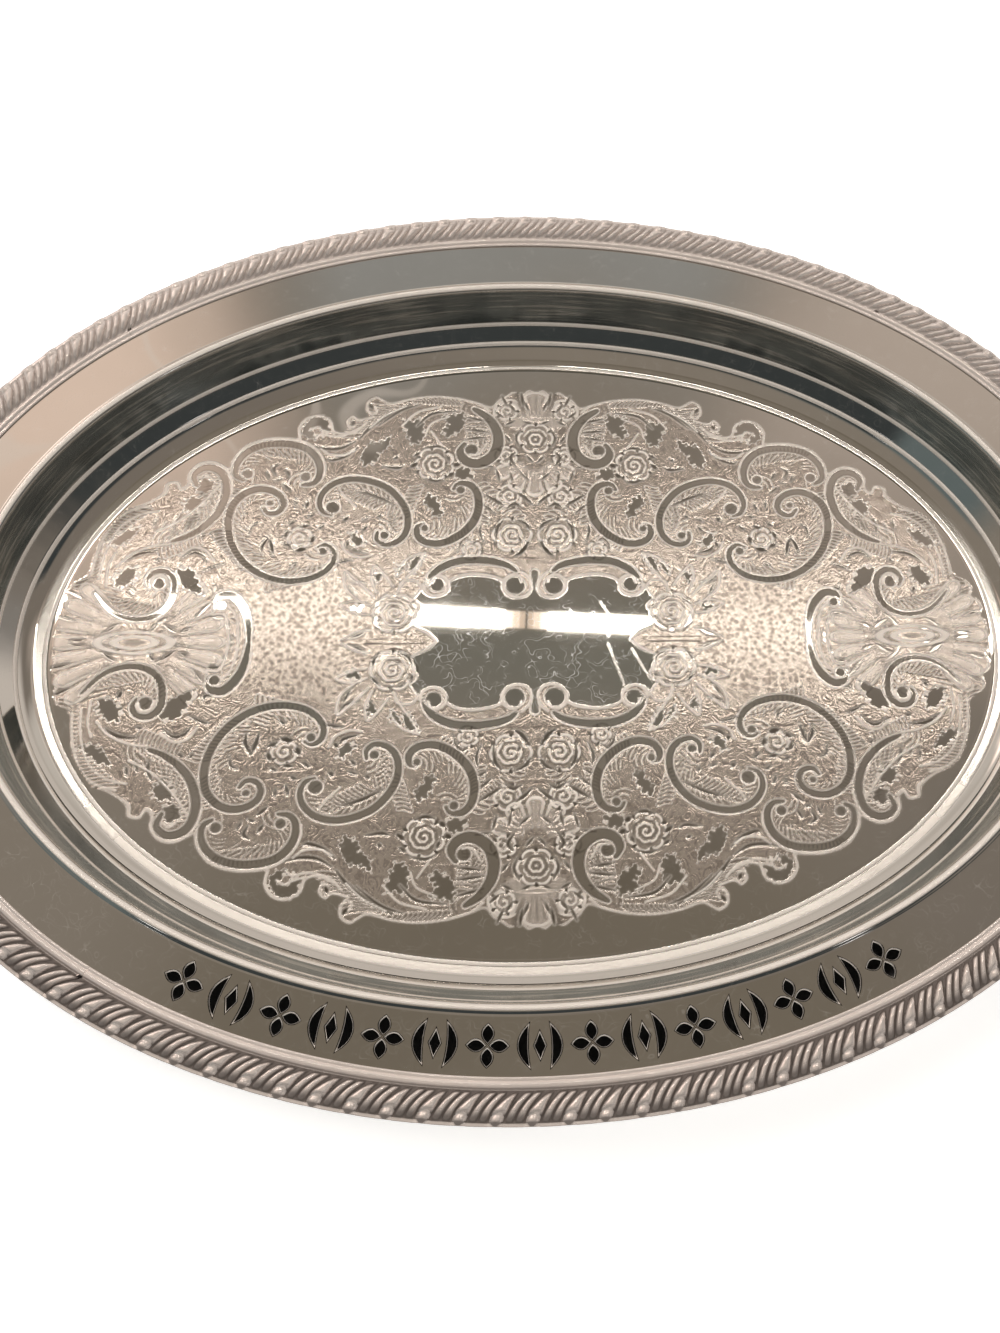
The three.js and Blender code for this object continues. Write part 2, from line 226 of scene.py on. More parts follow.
# Dark bright-cut strokes: half width, then points
CUTS = [
    (0.6, [(1.6, 41.4), (3.2, 44), (6.6, 45.6)]), (0.6, [(10.6, 45.2), (12.6, 42), (13, 37)]),
    (0.8, [(1.8, 37), (4, 33.6), (6.4, 31.6)]), (0.5, [(4.6, 37), (5.4, 39)]),
    (0.5, [(15.4, 45.6), (18.4, 47.6)]), (0.5, [(17, 36.6), (18.4, 40.6), (18, 44)]),
    (0.5, [(21, 37), (22.8, 38.4), (24.6, 36.6), (25.8, 33)]),
    (0.6, [(1, 51.6), (3.4, 54), (6, 56)]), (0.6, [(4.4, 50.4), (7, 51.6), (9.4, 50)]),
    (0.6, [(10.6, 51), (13.6, 53), (17.4, 55.6)]), (0.5, [(13.6, 48), (17.6, 51.4)]),
    (0.5, [(2, 61), (5, 63.8)]), (0.5, [(7.6, 60), (8.4, 64)]), (0.5, [(12, 60.4), (13.2, 65)]),
    (0.6, [(6.6, 66.4), (8.6, 69.8), (7, 72)]), (0.5, [(14, 66), (18.6, 66.6)]),
    (0.5, [(5.8, 74.4), (6.8, 78), (5.2, 81.4)]), (0.5, [(8.6, 76), (10.4, 78.6)]),
    (0.5, [(1.6, 83.4), (4.4, 84.6)]), (0.5, [(7.4, 84.6), (10.4, 83)]),
    (0.5, [(2.4, 89), (4, 92.6)]), (0.5, [(7.2, 88.4), (9.4, 91.6)]),
    (0.5, [(11.4, 86), (14, 88.4)]), (0.7, [(38.6, 12.2), (39.6, 13.2)]),
    (0.5, [(41.4, 15), (43.4, 16.2)]), (0.5, [(45.6, 16.6), (47, 16)]),
    (0.6, [(49, 15.6), (50.6, 14.2), (51.8, 12.6)]), (0.6, [(51.6, 9.4), (51.4, 6.6), (49.6, 4.6)]),
    (0.6, [(39.4, 8.2), (40.4, 5.8), (43.8, 3.8)]), (0.4, [(43.4, 8), (45.6, 7)]),
    (0.6, [(60.2, 21), (58.2, 16.6)]), (0.5, [(55.4, 21.2), (59.6, 22), (61.8, 25)]),
    (0.6, [(54, 4.4), (56.6, 2.4), (60, 1.2)]), (0.6, [(55.4, 32.6), (59.4, 33.6), (60.8, 35.4)]),
    (0.8, [(61.6, 36.4), (62.2, 35.2)]), (0.6, [(51.4, 47), (52.2, 46.2)]),
    (0.5, [(55.2, 45.8), (57.4, 44.8)]), (0.6, [(55.8, 42.6), (57, 41)]),
    (0.8, [(62.6, 46), (63.2, 44.8)]), (0.7, [(56.2, 56.2), (58, 54.6)]),
    (0.6, [(47, 69.6), (47.8, 68.8)]), (0.6, [(44.8, 66), (47, 65.2), (51.6, 65.8)]),
    (0.9, [(26, 67.2), (27.6, 66.4)]), (0.9, [(28, 63.4), (29.2, 62.2)]),
    (0.6, [(31, 60.8), (34, 60.2), (37, 61.2)]), (0.8, [(40.2, 67.4), (42.2, 65.6)]),
    (0.6, [(39.6, 71.4), (41.4, 70)]), (0.5, [(30.6, 73), (34, 74), (38, 73.2)]),
    (0.6, [(30.2, 70.4), (29.4, 68.4)]), (0.9, [(73, 38.6), (73.8, 36.4)]),
    (1.0, [(75.4, 34), (78.6, 33.4)]), (0.8, [(81.8, 40.4), (82.4, 38.2)]),
    (0.7, [(80, 34.6), (82.6, 36)]), (0.7, [(75, 42.6), (77.6, 42.2)]),
    (0.6, [(69.8, 43), (71.6, 41.4)]), (0.6, [(79.6, 44), (81.4, 43)]),
    (0.6, [(75.6, 52), (76.4, 49)]), (0.5, [(79.6, 52.6), (79.4, 50)]),
    (0.6, [(73.4, 47), (75, 46)]), (0.6, [(81.6, 56), (84.4, 58.4)]),
    (0.5, [(91.4, 43.4), (93.4, 42), (94, 38.6)]), (0.7, [(85.6, 31.4), (86.4, 35), (87.6, 38.4)]),
    (0.7, [(87.6, 38.4), (89.4, 35), (89.6, 31.8)]), (0.6, [(78, 28.4), (79.4, 27.2)]),
    (0.6, [(86.2, 66), (88, 64.6), (87, 62)]), (0.6, [(82.4, 61.6), (83.8, 64)]),
    (0.5, [(89, 60.6), (90, 63)]), (0.5, [(85, 60.4), (87, 59.8)]),
    (0.6, [(106.4, 29.2), (108.4, 31.6), (111.4, 32.3), (114.2, 30.4)]),
    (0.5, [(101.4, 28), (104, 27), (107.4, 25.4)]), (0.6, [(101, 18.8), (103, 18.4), (103.2, 20)]),
    (0.5, [(105, 38), (106, 39.4)]), (0.6, [(108, 39), (109.4, 38)]),
    (0.7, [(122.6, 32.6), (128, 31.9), (132.2, 29.4)]), (0.6, [(121.4, 29.4), (122.4, 29)]),
    (0.8, [(128.6, 17), (129.4, 19)]), (0.5, [(117.6, 8.4), (119.8, 6.6)]),
    (0.6, [(119.6, 7), (121.8, 3.6)]), (0.7, [(99.6, 8.7), (102.8, 8.8)]),
    (0.7, [(98.6, 6.4), (97.6, 4.6)]), (0.6, [(96.6, 2), (96.4, 0)]),
    (0.6, [(109.6, 4.8), (112, 3.6)]), (0.5, [(130, 2.6), (132.4, 2.4)]),
    (0.6, [(142, 1), (146, 0.6)]), (0.6, [(116.4, 46.6), (118, 43.4), (117.8, 40)]),
    (0.5, [(121, 43.6), (122, 40)]), (0.5, [(124, 45), (124.6, 41.6)]),
    (0.7, [(57.6, 90.6), (56.4, 88.8)]), (0.7, [(62.4, 83.6), (63, 82)]),
    (0.6, [(60.6, 73), (64, 69.8), (68.6, 68), (70, 68.4)]),
    (0.6, [(61.4, 75.6), (66, 72.8), (71, 72.4), (75, 73.4)]),
    (0.7, [(43, 91), (48, 88.4), (53.4, 84.4), (57.4, 80.4), (60, 76.8)]),
    (0.5, [(27, 88.5), (36, 87), (41, 82)]), (0.5, [(40, 91), (47, 88), (54, 82)]),
    (0.5, [(16, 84), (24, 86)]), (0.5, [(16, 80), (24, 81)]), (0.5, [(17, 78), (24, 77)]),
    (0.6, [(47, 51), (53, 54), (59, 56)]), (0.6, [(114, 3.4), (118, 6.2)]),
    (0.6, [(136, 3.4), (132, 6.4)]), (0.5, [(104, 14), (108, 9)]), (0.6, [(144, 15.4), (149, 18)]),
    (0.6, [(145.6, 7.4), (151, 9)]), (0.5, [(60, 30), (66, 28.6)]), (0.5, [(12, 95), (10, 90.6)]),
    (0.6, [(5.2, 96), (4.4, 91)]), (0.5, [(0.8, 68), (3, 70.6)]),
]

# Polished leaf-shaped grounds: corner points, joined by a smooth line
POOLS = [
    [(25, 87.2), (28, 86.6), (31.6, 85.8), (29.8, 83), (31.6, 80), (30, 78.4), (27.4, 80),
     (25.4, 82.6)],
    [(40, 84.4), (42.4, 83.6), (45, 84), (44, 79.4), (41.8, 75), (39.2, 77.4), (38.8, 81)],
    [(50.4, 77), (53, 75), (56, 74.6), (58.4, 70.6), (58, 66.6), (54.6, 68.2), (53.4, 71.6),
     (50.6, 73.6)],
    [(21.4, 61.8), (23.2, 65), (26.8, 64.6), (26, 61.4)],
    [(36.2, 54.6), (34.2, 53.6), (32.4, 50.6), (31.6, 47.6), (33.6, 47), (34.4, 49.4),
     (36.6, 51.6)],
    [(37, 31.6), (40.6, 29.4), (40.6, 25.4), (38.6, 28.4)],
    [(42.2, 29), (44.6, 27.4), (45, 24.8), (43, 27)],
    [(50, 24.4), (52.4, 25), (52, 21.8)],
    [(55.4, 13.2), (60, 12.2), (57.4, 10.8)],
    [(56.4, 36.4), (60.6, 40.2), (59, 35.4)],
    [(106.7, 17), (108.6, 21.6), (111.4, 26), (116, 25.4), (114.8, 21.4), (112.4, 19.4)],
    [(129.6, 41), (133.6, 40), (137, 37), (139.4, 35.4), (135.6, 35), (133, 36.4), (131.4, 38.6)],
    [(129, 26.6), (132, 26), (135, 22.6), (134, 19.6), (131, 20.4), (128.6, 23)],
    [(110.4, 52.4), (114, 52.6), (115.6, 50), (113.4, 46.6), (110.6, 49.4)],
    [(107.4, 58.6), (110.4, 60), (112.8, 57.6), (111.4, 55.4), (108, 55.6)],
    [(70.6, 80), (72, 84), (76, 84.4), (79.2, 81), (78, 77.4), (75, 76.8), (77.4, 80), (74.4, 81.6),
     (72, 79.4)],
]

# Rosettes: x, y, radius, petals
ROSES = [
    (45.4, 10.3, 7.0, 6), (7.6, 39.6, 6.4, 6), (34.2, 67, 6.4, 7), (0, 77.6, 5.8, 6),
    (77.6, 38, 3.8, 5), (9.6, 70.6, 3.4, 5), (21, 33.8, 3, 5), (8.6, 54.6, 4.2, 5),
    (10, 88.6, 3.4, 5),
]

# Feathered leaves: both ends of the spine, the strokes' length at either end, their lean, count
FEATHERS = [
    ((46, 40), (45, 50), 3.5, 6, 52, 7), ((47, 52), (63, 58.4), 7, 5, 44, 11),
    ((69.4, 27), (86, 24), 3.5, 6, 60, 11), ((88, 26), (98, 40), 7, 9, 52, 13),
    ((98.6, 42), (96, 53), 8, 5, 60, 9), ((22, 45), (30, 38.6), 6, 5, 62, 8),
    ((21, 55), (21.6, 47), 5, 7, 60, 7), ((16.6, 86), (16.6, 72), -8, -6, -66, 12),
    ((25, 91), (44, 91.6), -7, -9, -50, 13), ((46, 91), (60, 78), -10, -9, -40, 13),
    ((76, 68), (96, 71), -5, -6, -60, 15), ((105.6, 60), (108, 45), -5, -8, -50, 12),
    ((109, 43.6), (122, 36.6), 8, 7, 62, 11), ((119, 12), (138, 16), 5, 4, 60, 13),
    ((118.6, 22), (119, 12), 4, 6, 40, 7), ((126, 48.6), (140, 36), -9, -8, -54, 12),
    ((140.6, 35), (141.6, 22), -8, -6, -52, 9), ((38, 59), (42, 46), -4, -5, -60, 9),
    ((3, 46), (17, 60), 4, 5, 70, 9), ((2, 62), (12, 74), 4, 4, 62, 8),
]

# Fans of petals, from their middle petal outward: centre, radii, angles, petals
SHELLS = [
    ((121, 0), 12, 31.5, 0, 47, 3.5), ((127, 0), 9, 28.5, 180, 130, 3.5),
    ((0, 76), 8, 20.6, 90, 33, 1.5), ((0, 69), 4, 14.5, -90, -8, 2.5),
]
PETAL_ROUNDING = 0.3

# Outline of the matted ornament, from the tray's cross axis to its long axis
GROUND = [
    (0, 96.4), (2.6, 97.4), (5, 95.6), (8, 96.6), (10.4, 95), (13, 93.4), (15.6, 90.4), (20, 91.8),
    (27, 93.7), (35, 94.4), (43, 93.4), (50, 91.2), (53, 92.4), (55.5, 93.7), (58.4, 91.8),
    (58.8, 88.2), (57.4, 85.6), (60.8, 84.4), (63, 85.8), (65.2, 83.4), (64.4, 80.4), (67, 79),
    (69, 80), (70.2, 83.6), (74.4, 85.9), (78.8, 84.6), (81.2, 80.6), (80.8, 76.6), (84.6, 76.6),
    (91, 76.3), (97.8, 73.6), (101.8, 68), (102.6, 64.4), (104.4, 65.2), (108.4, 67), (113, 66),
    (115.9, 62), (115.8, 58.4), (117.4, 56.6), (119, 59), (122.6, 58.2), (123.4, 54.8), (126, 52.2),
    (130, 49.8), (134, 48.2), (138, 44.2), (141, 37.2), (142.6, 30), (143.2, 24.6), (146, 22),
    (148.2, 20.6), (149.4, 17.6), (148.6, 15), (151, 13.2), (151.8, 10), (150.6, 7), (152.6, 5),
    (153, 2), (152.4, 0),
]

# Outline of the polished middle
CARTOUCHE = [
    (0, 26.4), (1.4, 25.2), (0.8, 20), (2, 16.6), (5.4, 15.4), (8.8, 16.4), (10.8, 19.2),
    (11, 21.8), (14, 23.2), (20, 24.1), (25, 23.3), (27.8, 21.4), (28, 19), (29.8, 16.8),
    (32.8, 16.1), (35.6, 17.2), (37, 19), (38.6, 16.8), (39.6, 15.4), (37.6, 13.6), (37.4, 11.6),
    (38.8, 10), (39.2, 6), (38.6, 5.2), (34.4, 3.2), (31.6, 0),
]

# Long scratches across the polished middle: both ends, on the floor itself
SCRATCHES = [
    ((26.0, -3.3), (30.7, -18.7)), ((33.7, -5.3), (39.5, -17.1)), ((24.1, 12.0), (28.7, 3.9)),
]
SCRATCH_HALF = 0.1
SCRATCH_SHINE = 0.6

# The engraving sits a little askew: its shift in x and y, and how that grows over 100 mm
SHIFT = (2.2, -1.8)
SHIFT_WITH_X = (0.0, -1.1)
SHIFT_WITH_Y = (2.4, -0.7)
SHIFT_WITH_XX = (-1.3, 0.3)
SHIFT_WITH_XY = (1.1, -2.0)
SHIFT_WITH_YY = (0.7, 2.2)

# Relief of the engraving, up or down from the floor
GROUND_RISE = 0.03
CARTOUCHE_DEPTH = 0.02
BAND_DEPTH = 0.025
LINE_RISE = 0.03
CUT_DEPTH = 0.07
PLUME_RISE = 0.02
ROSE_RISE = 0.1
ROSE_FOLD_RISE = 0.05
NOTCH_DEPTH = 0.1
FEATHER_RISE = 0.05
FEATHER_DEPTH = 0.08
SHELL_RISE = 0.08

# Tone of the engraving: the share of the bright line metal, or of the dark cut metal, which also takes the
# painted shadows beside the rosettes and the eye
OUTLINE_SHINE = 0.58
GROUND_OUTLINE = 0.55
CARTOUCHE_OUTLINE = 0.6
CARTOUCHE_DARK = 0.04
BAND_DARK = 0.12
BAND_EDGE_DARK = 0.6
DISC_DARK = 0.25
POOL_OUTLINE = 0.6
POOL_DARK = 0.3
CUT_OUTLINE = 0.35
CUT_DARK = 0.9
LINE_SHINE = 0.75
PLUME_SHINE = 0.5
PLUME_DARK = 0.5
ROSE_SHINE = 0.9
ROSE_DARK = 0.65
ROSE_SHADOW = 0.6
NOTCH_DARK = 0.9
FEATHER_SHINE = 0.45
FEATHER_DARK = 0.55
SHELL_TIP_SHINE = 0.85
SHELL_SIDE_SHINE = 0.6
SHELL_BODY_SHINE = 0.3
SHELL_GAP_DARK = 0.65
SHELL_VEIN_DARK = 0.4
EYE_SHINE = 0.9
EYE_SHADOW = 0.6

# Forms of the engraving
EDGE_SOFTNESS = 0.3
OUTLINE_WIDTH = 0.42
BAND_WIDENING = 1.2
ROSE_PITCH = 2.1
ROSE_MATTE = 0.85
PLUME_REACH = 9.5
PLUME_PITCH = 2.7
PLUME_LEAN = 0.42
FEATHER_STEPS = 4
FEATHER_HALF = 0.32
FEATHER_TAPER = (0.6, 1, 1, 0.8, 0.3)
# How far plumes and rosettes lie clear of the ground's tool strokes
PLAIN_SHARE = 0.85
EVERYWHERE = slice(None)

# The long eye in the end shells: middle, half length and half height
EYE = (126.5, 4.2, 1.1)
EYE_LINES = (1.9, 3.4)
# Pitted field beside the end shells: middle, half length and half height
PITTED = (76.0, 26.0, 24.0)


def spline(points, steps=8):
    """A smooth line through the points (Catmull and Rom's), as an array."""
    p = np.asarray(points, float)
    p = np.vstack([2 * p[0] - p[1], p, 2 * p[-1] - p[-2]])
    t = (np.arange(steps) / steps)[:, None]
    runs = []
    for a, b, c, d in zip(p[:-3], p[1:-2], p[2:-1], p[3:]):
        bend = 2 * a - 5 * b + 4 * c - d
        twist = 3 * b - a - 3 * c + d
        runs.append(0.5 * (2 * b + (c - a) * t + bend * t**2 + twist * t**3))
    return np.vstack([*runs, p[-2:-1]])


def stroke_gap(x, y, path, halves):
    """Distance to a stroke with these half widths along its path, negative inside."""
    best = np.full(len(x), 1e9)
    for (a, b), (ha, hb) in zip(zip(path[:-1], path[1:]), zip(halves[:-1], halves[1:])):
        run = b - a
        share = np.clip(((x - a[0]) * run[0] + (y - a[1]) * run[1]) / max(run @ run, 1e-9), 0, 1)
        gap = np.hypot(x - a[0] - share * run[0], y - a[1] - share * run[1]) - (ha + (hb - ha) * share)
        best = np.minimum(best, gap)
    return best


def nearest_on(x, y, path):
    """Distance to a line, the length along it there, and the side: 1 on the left."""
    gap = np.full(len(x), 1e9)
    along = np.zeros(len(x))
    side = np.zeros(len(x))
    start = 0.0
    for a, b in zip(path[:-1], path[1:]):
        run = b - a
        length = math.hypot(*run)
        share = np.clip(((x - a[0]) * run[0] + (y - a[1]) * run[1]) / max(length**2, 1e-9), 0, 1)
        gx = x - a[0] - share * run[0]
        gy = y - a[1] - share * run[1]
        here = np.hypot(gx, gy)
        closer = here < gap
        gap[closer] = here[closer]
        along[closer] = start + share[closer] * length
        side[closer] = np.sign(run[0] * gy - run[1] * gx)[closer]
        start += length
    return gap, along, side


def inside_outline(x, y, outline):
    """Which points lie inside a closed outline."""
    inside = np.zeros(len(x), bool)
    for (ax, ay), (bx, by) in zip(outline, np.roll(outline, -1, axis=0)):
        if ay != by:
            crosses = (ay > y) != (by > y)
            inside ^= crosses & (x < (bx - ax) * (y - ay) / (by - ay) + ax)
    return inside


def outline_gap(x, y, outline):
    """Distance to a closed outline, negative inside."""
    path = np.vstack([outline, outline[:1]])
    gap = np.abs(stroke_gap(x, y, path, np.zeros(len(path))))
    return np.where(inside_outline(x, y, outline), -gap, gap)


def inside_share(gap):
    return smoothstep(EDGE_SOFTNESS, -EDGE_SOFTNESS, gap)


def ring_share(gap, width):
    """1 on a line of this width just outside an edge."""
    return smoothstep(-0.4, -0.05, gap) * smoothstep(width + 0.25, width - 0.12, gap)


class Ornament:
    """Relief height and finish at points of the quarter: matted ground, bright line, dark cut, and painted
    shadows in the dark share.
    """

    def __init__(self, x, y):
        self.x = x
        self.y = y
        self.height = np.zeros(len(x))
        self.matte = np.zeros(len(x))
        self.line = np.zeros(len(x))
        self.dark = np.zeros(len(x))
        self.fine = np.ones(len(x))
        self.pitted = np.zeros(len(x))
        self.worn = np.zeros(len(x))

    def near(self, path, margin):
        """The numbers of the points in a box round a path."""
        low = path.min(0) - margin
        high = path.max(0) + margin
        inside = (self.x > low[0]) & (self.x < high[0]) & (self.y > low[1]) & (self.y < high[1])
        return np.flatnonzero(inside)

    def brighten(self, at, amount, cleared=0):
        """Raises the bright share to this amount, once a share of what is there is cleared."""
        self.line[at] = np.maximum(self.line[at] * (1 - cleared), amount)

    def darken(self, at, amount, cleared=0):
        """Raises the dark share to this amount, once a share of what is there is cleared."""
        self.dark[at] = np.maximum(self.dark[at] * (1 - cleared), amount)

    def sink(self, at, gap, depth, dark, outline):
        """A polished, lowered shape with a bright line round it."""
        inside = inside_share(gap)
        ring = ring_share(gap, OUTLINE_WIDTH)
        self.matte[at] *= 1 - inside
        self.height[at] += (-depth - self.height[at]) * smoothstep(0.55, -0.05, gap)
        self.brighten(at, outline * ring, inside)
        self.height[at] += LINE_RISE * outline * ring
        self.darken(at, dark * inside)

    def band(self, half, points):
        """A polished scroll, widest in its middle, with a darker edge."""
        path = spline(points)
        along = np.linspace(0, 1, len(path))
        halves = BAND_WIDENING * half * (0.4 + 0.6 * np.sin(math.pi * along) ** 0.6)
        at = self.near(path, half + 2.5)
        gap = stroke_gap(self.x[at], self.y[at], path, halves)
        self.sink(at, gap, BAND_DEPTH, BAND_DARK, OUTLINE_SHINE)
        self.darken(at, BAND_EDGE_DARK * smoothstep(0.42, 0.1, np.abs(gap + 0.28)))

    def plume(self, half, points):
        """Leaf strokes that spring from a scroll's hollow side."""
        path = spline(points, 5)
        runs = np.diff(path, axis=0)
        turning = np.sign(np.sum(runs[:-1, 0] * runs[1:, 1] - runs[:-1, 1] * runs[1:, 0]))
        at = self.near(path, PLUME_REACH)
        at = at[self.matte[at] > 0.3]
        gap, along, side = nearest_on(self.x[at], self.y[at], path)
        reach = PLUME_REACH * (0.72 + 0.28 * np.sin(along * 0.8))
        share = (side == turning) * smoothstep(half * BAND_WIDENING + 0.3, half * BAND_WIDENING + 1.0, gap)
        share = share * smoothstep(reach, reach * 0.6, gap) * self.matte[at]
        wave = np.sin(2 * math.pi * (along / PLUME_PITCH + PLUME_LEAN * gap + 0.015 * gap**2))
        hollow = smoothstep(-0.1, -0.8, wave) * share
        crest = smoothstep(0.2, 0.9, wave) * share
        self.darken(at, PLUME_DARK * hollow)
        self.brighten(at, PLUME_SHINE * crest, hollow)
        self.height[at] += PLUME_RISE * wave * share
        self.fine[at] *= 1 - PLAIN_SHARE * share

    def disc(self, x, y, radius):
        at = self.near(np.array([[x, y]]), radius + 2)
        gap = np.hypot(self.x[at] - x, self.y[at] - y) - radius
        self.sink(at, gap, BAND_DEPTH, DISC_DARK, OUTLINE_SHINE)

    def pool(self, points):
        """A polished ground between leaves, with a ragged edge."""
        path = spline(points + points[:1], 4)[:-1]
        at = self.near(path, 3)
        x, y = self.x[at], self.y[at]
        ragged = 0.45 * np.sin(2.3 * x + 1.1 * y) + 0.35 * np.sin(2.9 * y - 1.7 * x)
        gap = outline_gap(x, y, path) - 0.4 + ragged
        self.sink(at, gap, BAND_DEPTH, POOL_DARK, POOL_OUTLINE)

    def cut(self, half, points):
        """A dark stroke, widest in its middle."""
        path = spline(points, 4)
        along = np.linspace(0, 1, len(path))
        halves = half * (0.35 + 0.65 * np.sin(math.pi * np.clip(along, 0.04, 0.96)))
        at = self.near(path, half + 2)
        gap = stroke_gap(self.x[at], self.y[at], path, halves)
        self.sink(at, gap, CUT_DEPTH, CUT_DARK, CUT_OUTLINE)

    def bright_line(self, half, points):
        """A raised line of even width."""
        path = spline(points)
        at = self.near(path, half + 1.5)
        gap = stroke_gap(self.x[at], self.y[at], path, np.full(len(path), half))
        share = smoothstep(0.3, -0.2, gap)
        self.brighten(at, LINE_SHINE * share)
        self.dark[at] *= 1 - share
        self.height[at] += LINE_RISE * 1.4 * share

    def rose(self, x, y, radius, petals):
        """A rosette: petals round a spiral of folds, with dark notches between them and a painted shadow
        outside its rim.
        """
        at = self.near(np.array([[x, y]]), radius + 2.5)
        dx = self.x[at] - x
        dy = self.y[at] - y
        distance = np.hypot(dx, dy)
        angle = np.arctan2(dy, dx)
        lobes = np.abs(np.cos(angle * petals / 2))
        rim = radius * (0.86 + 0.14 * lobes)
        inner = radius * 0.62 * (0.88 + 0.12 * np.abs(np.sin(angle * petals / 2)))
        inside = inside_share(distance - rim)
        self.matte[at] = np.maximum(self.matte[at] * (1 - inside), ROSE_MATTE * inside)
        self.fine[at] *= 1 - PLAIN_SHARE * inside
        self.height[at] = self.height[at] * (1 - inside) + ROSE_RISE * inside * arch(distance / rim)
        turns = distance / (0.9 + 0.1 * lobes) / ROSE_PITCH + angle / (2 * math.pi)
        fold = np.abs(turns % 1 - 0.5) * 2
        within = smoothstep(0.2, -0.5, distance - inner * 1.25)
        line = ROSE_SHINE * within * smoothstep(0.5, 0.85, fold)
        line = np.maximum(line, smoothstep(0.6, 0.1, np.abs(distance - rim)))
        groove = ROSE_DARK * within * smoothstep(0.45, 0.1, fold)
        shadow = ROSE_SHADOW * smoothstep(0.55, 0.1, np.abs(distance - rim - 0.9))
        shadow = shadow * smoothstep(0.15, 0.6, lobes)
        self.brighten(at, line)
        self.darken(at, np.maximum(groove, shadow), line)
        self.height[at] += ROSE_FOLD_RISE * line - ROSE_FOLD_RISE * groove
        notch = smoothstep(0.4, 0.1, lobes) * smoothstep(1.2, 0.2, np.abs(distance - rim - 0.6))
        self.sink(at, 0.35 - notch, NOTCH_DEPTH, NOTCH_DARK, 0.0)

    def feather(self, first, last, length_first, length_last, lean, count):
        """A row of bent strokes that lean away from a spine."""
        first = np.array(first, float)
        last = np.array(last, float)
        spine = (last - first) / np.linalg.norm(last - first)
        for i in range(count):
            share = (i + 0.5) / count
            root = first + (last - first) * share
            length = abs(length_first + (length_last - length_first) * share)
            points = []
            for step in range(FEATHER_STEPS + 1):
                bend = math.radians(lean * (0.55 + 0.5 * step / FEATHER_STEPS))
                turned = np.array([spine[0] * math.cos(bend) + spine[1] * math.sin(bend),
                                   spine[1] * math.cos(bend) - spine[0] * math.sin(bend)])
                points.append(root + turned * length * step / FEATHER_STEPS)
            path = np.array(points)
            at = self.near(path, 1.5)
            halves = FEATHER_HALF * np.array(FEATHER_TAPER)
            gap = stroke_gap(self.x[at], self.y[at], path, halves)
            groove = smoothstep(0.3, -0.15, gap)
            beside = smoothstep(0.1, 0.35, gap) * smoothstep(0.95, 0.5, gap)
            self.darken(at, FEATHER_DARK * groove * self.matte[at])
            self.brighten(at, FEATHER_SHINE * beside * self.matte[at], groove)
            self.height[at] += (FEATHER_RISE * beside - FEATHER_DEPTH * groove) * self.matte[at]

    def shell(self, centre, inner, outer, start, end, ribs):
        """A fan of petals with light tips and sides, dark gaps and thin veins."""
        dx = self.x - centre[0]
        dy = self.y - centre[1]
        distance = np.hypot(dx, dy)
        angle = np.degrees(np.arctan2(dy, dx))
        share = (angle - start) / (end - start)
        phase = (share * ribs + 0.5) % 1
        across = np.abs(phase - 0.5) * 2
        within = (share >= 0) & (share < 1) & (self.matte > 0.1)
        reach = outer - PETAL_ROUNDING * (outer - inner) * across**2.5
        out = np.clip((distance - inner) / (outer - inner), 0, 1)
        body = within * smoothstep(inner - 0.5, inner + 0.5, distance)
        body = body * smoothstep(reach + 0.4, reach - 0.4, distance)
        between = within * smoothstep(0.78, 0.97, across) * smoothstep(0.1, 0.7, out)
        between = between * (distance < outer + 0.6)
        tip = smoothstep(0.75, 0.25, np.abs(distance - reach + 0.3)) * within
        side_line = smoothstep(0.22, 0.08, np.abs(across - 0.68)) * smoothstep(0.2, 0.6, out) * body
        veins = np.maximum(smoothstep(0.12, 0.03, across), smoothstep(0.1, 0.02, np.abs(across - 0.38)))
        veins = veins * smoothstep(0.15, 0.35, out) * smoothstep(0.92, 0.75, out) * body
        light = np.maximum(SHELL_SIDE_SHINE * side_line, SHELL_BODY_SHINE * body)
        self.fine *= 1 - 0.8 * body
        self.brighten(EVERYWHERE, np.maximum(SHELL_TIP_SHINE * tip, light), body)
        self.line *= 1 - between
        self.line *= 1 - 0.5 * veins
        dark = np.maximum(SHELL_GAP_DARK * between, SHELL_VEIN_DARK * veins)
        self.darken(EVERYWHERE, dark, body)
        self.height += body * SHELL_RISE * (1 - across**2)

    def eye(self, x, half_length, half_height):
        """A dark almond with two light lines round it, each with a painted shadow just outside it."""
        across = np.abs(self.y) / half_height
        along = np.abs(self.x - x) / half_length
        size = np.sqrt(along**2 + across**2) + 0.25 * along
        self.darken(EVERYWHERE, smoothstep(1.1, 0.8, size), smoothstep(4.4, 3.4, size))
        for place in EYE_LINES:
            light = smoothstep(0.55, 0.2, np.abs(size - place))
            shadow = smoothstep(0.5, 0.2, np.abs(size - place - 0.8))
            self.brighten(EVERYWHERE, EYE_SHINE * light)
            self.darken(EVERYWHERE, EYE_SHADOW * shadow, light)


def ornament_place(x, y):
    """Where a point of the floor lies on the engraving's own axes."""
    a, b = x / 100, y / 100
    own = []
    for i, place in enumerate((x, y)):
        moved = SHIFT[i] + SHIFT_WITH_X[i] * a + SHIFT_WITH_Y[i] * b + SHIFT_WITH_XX[i] * a * a
        moved = moved + SHIFT_WITH_XY[i] * a * b + SHIFT_WITH_YY[i] * b * b
        own.append(place - moved)
    return own


def closed_quarter(outline):
    """A quarter's outline as a smooth line, closed well beyond both axes."""
    beyond = -20
    corners = [(outline[-1][0], beyond), (beyond, beyond), (beyond, outline[0][1])]
    return np.vstack([spline(outline, 4), corners])


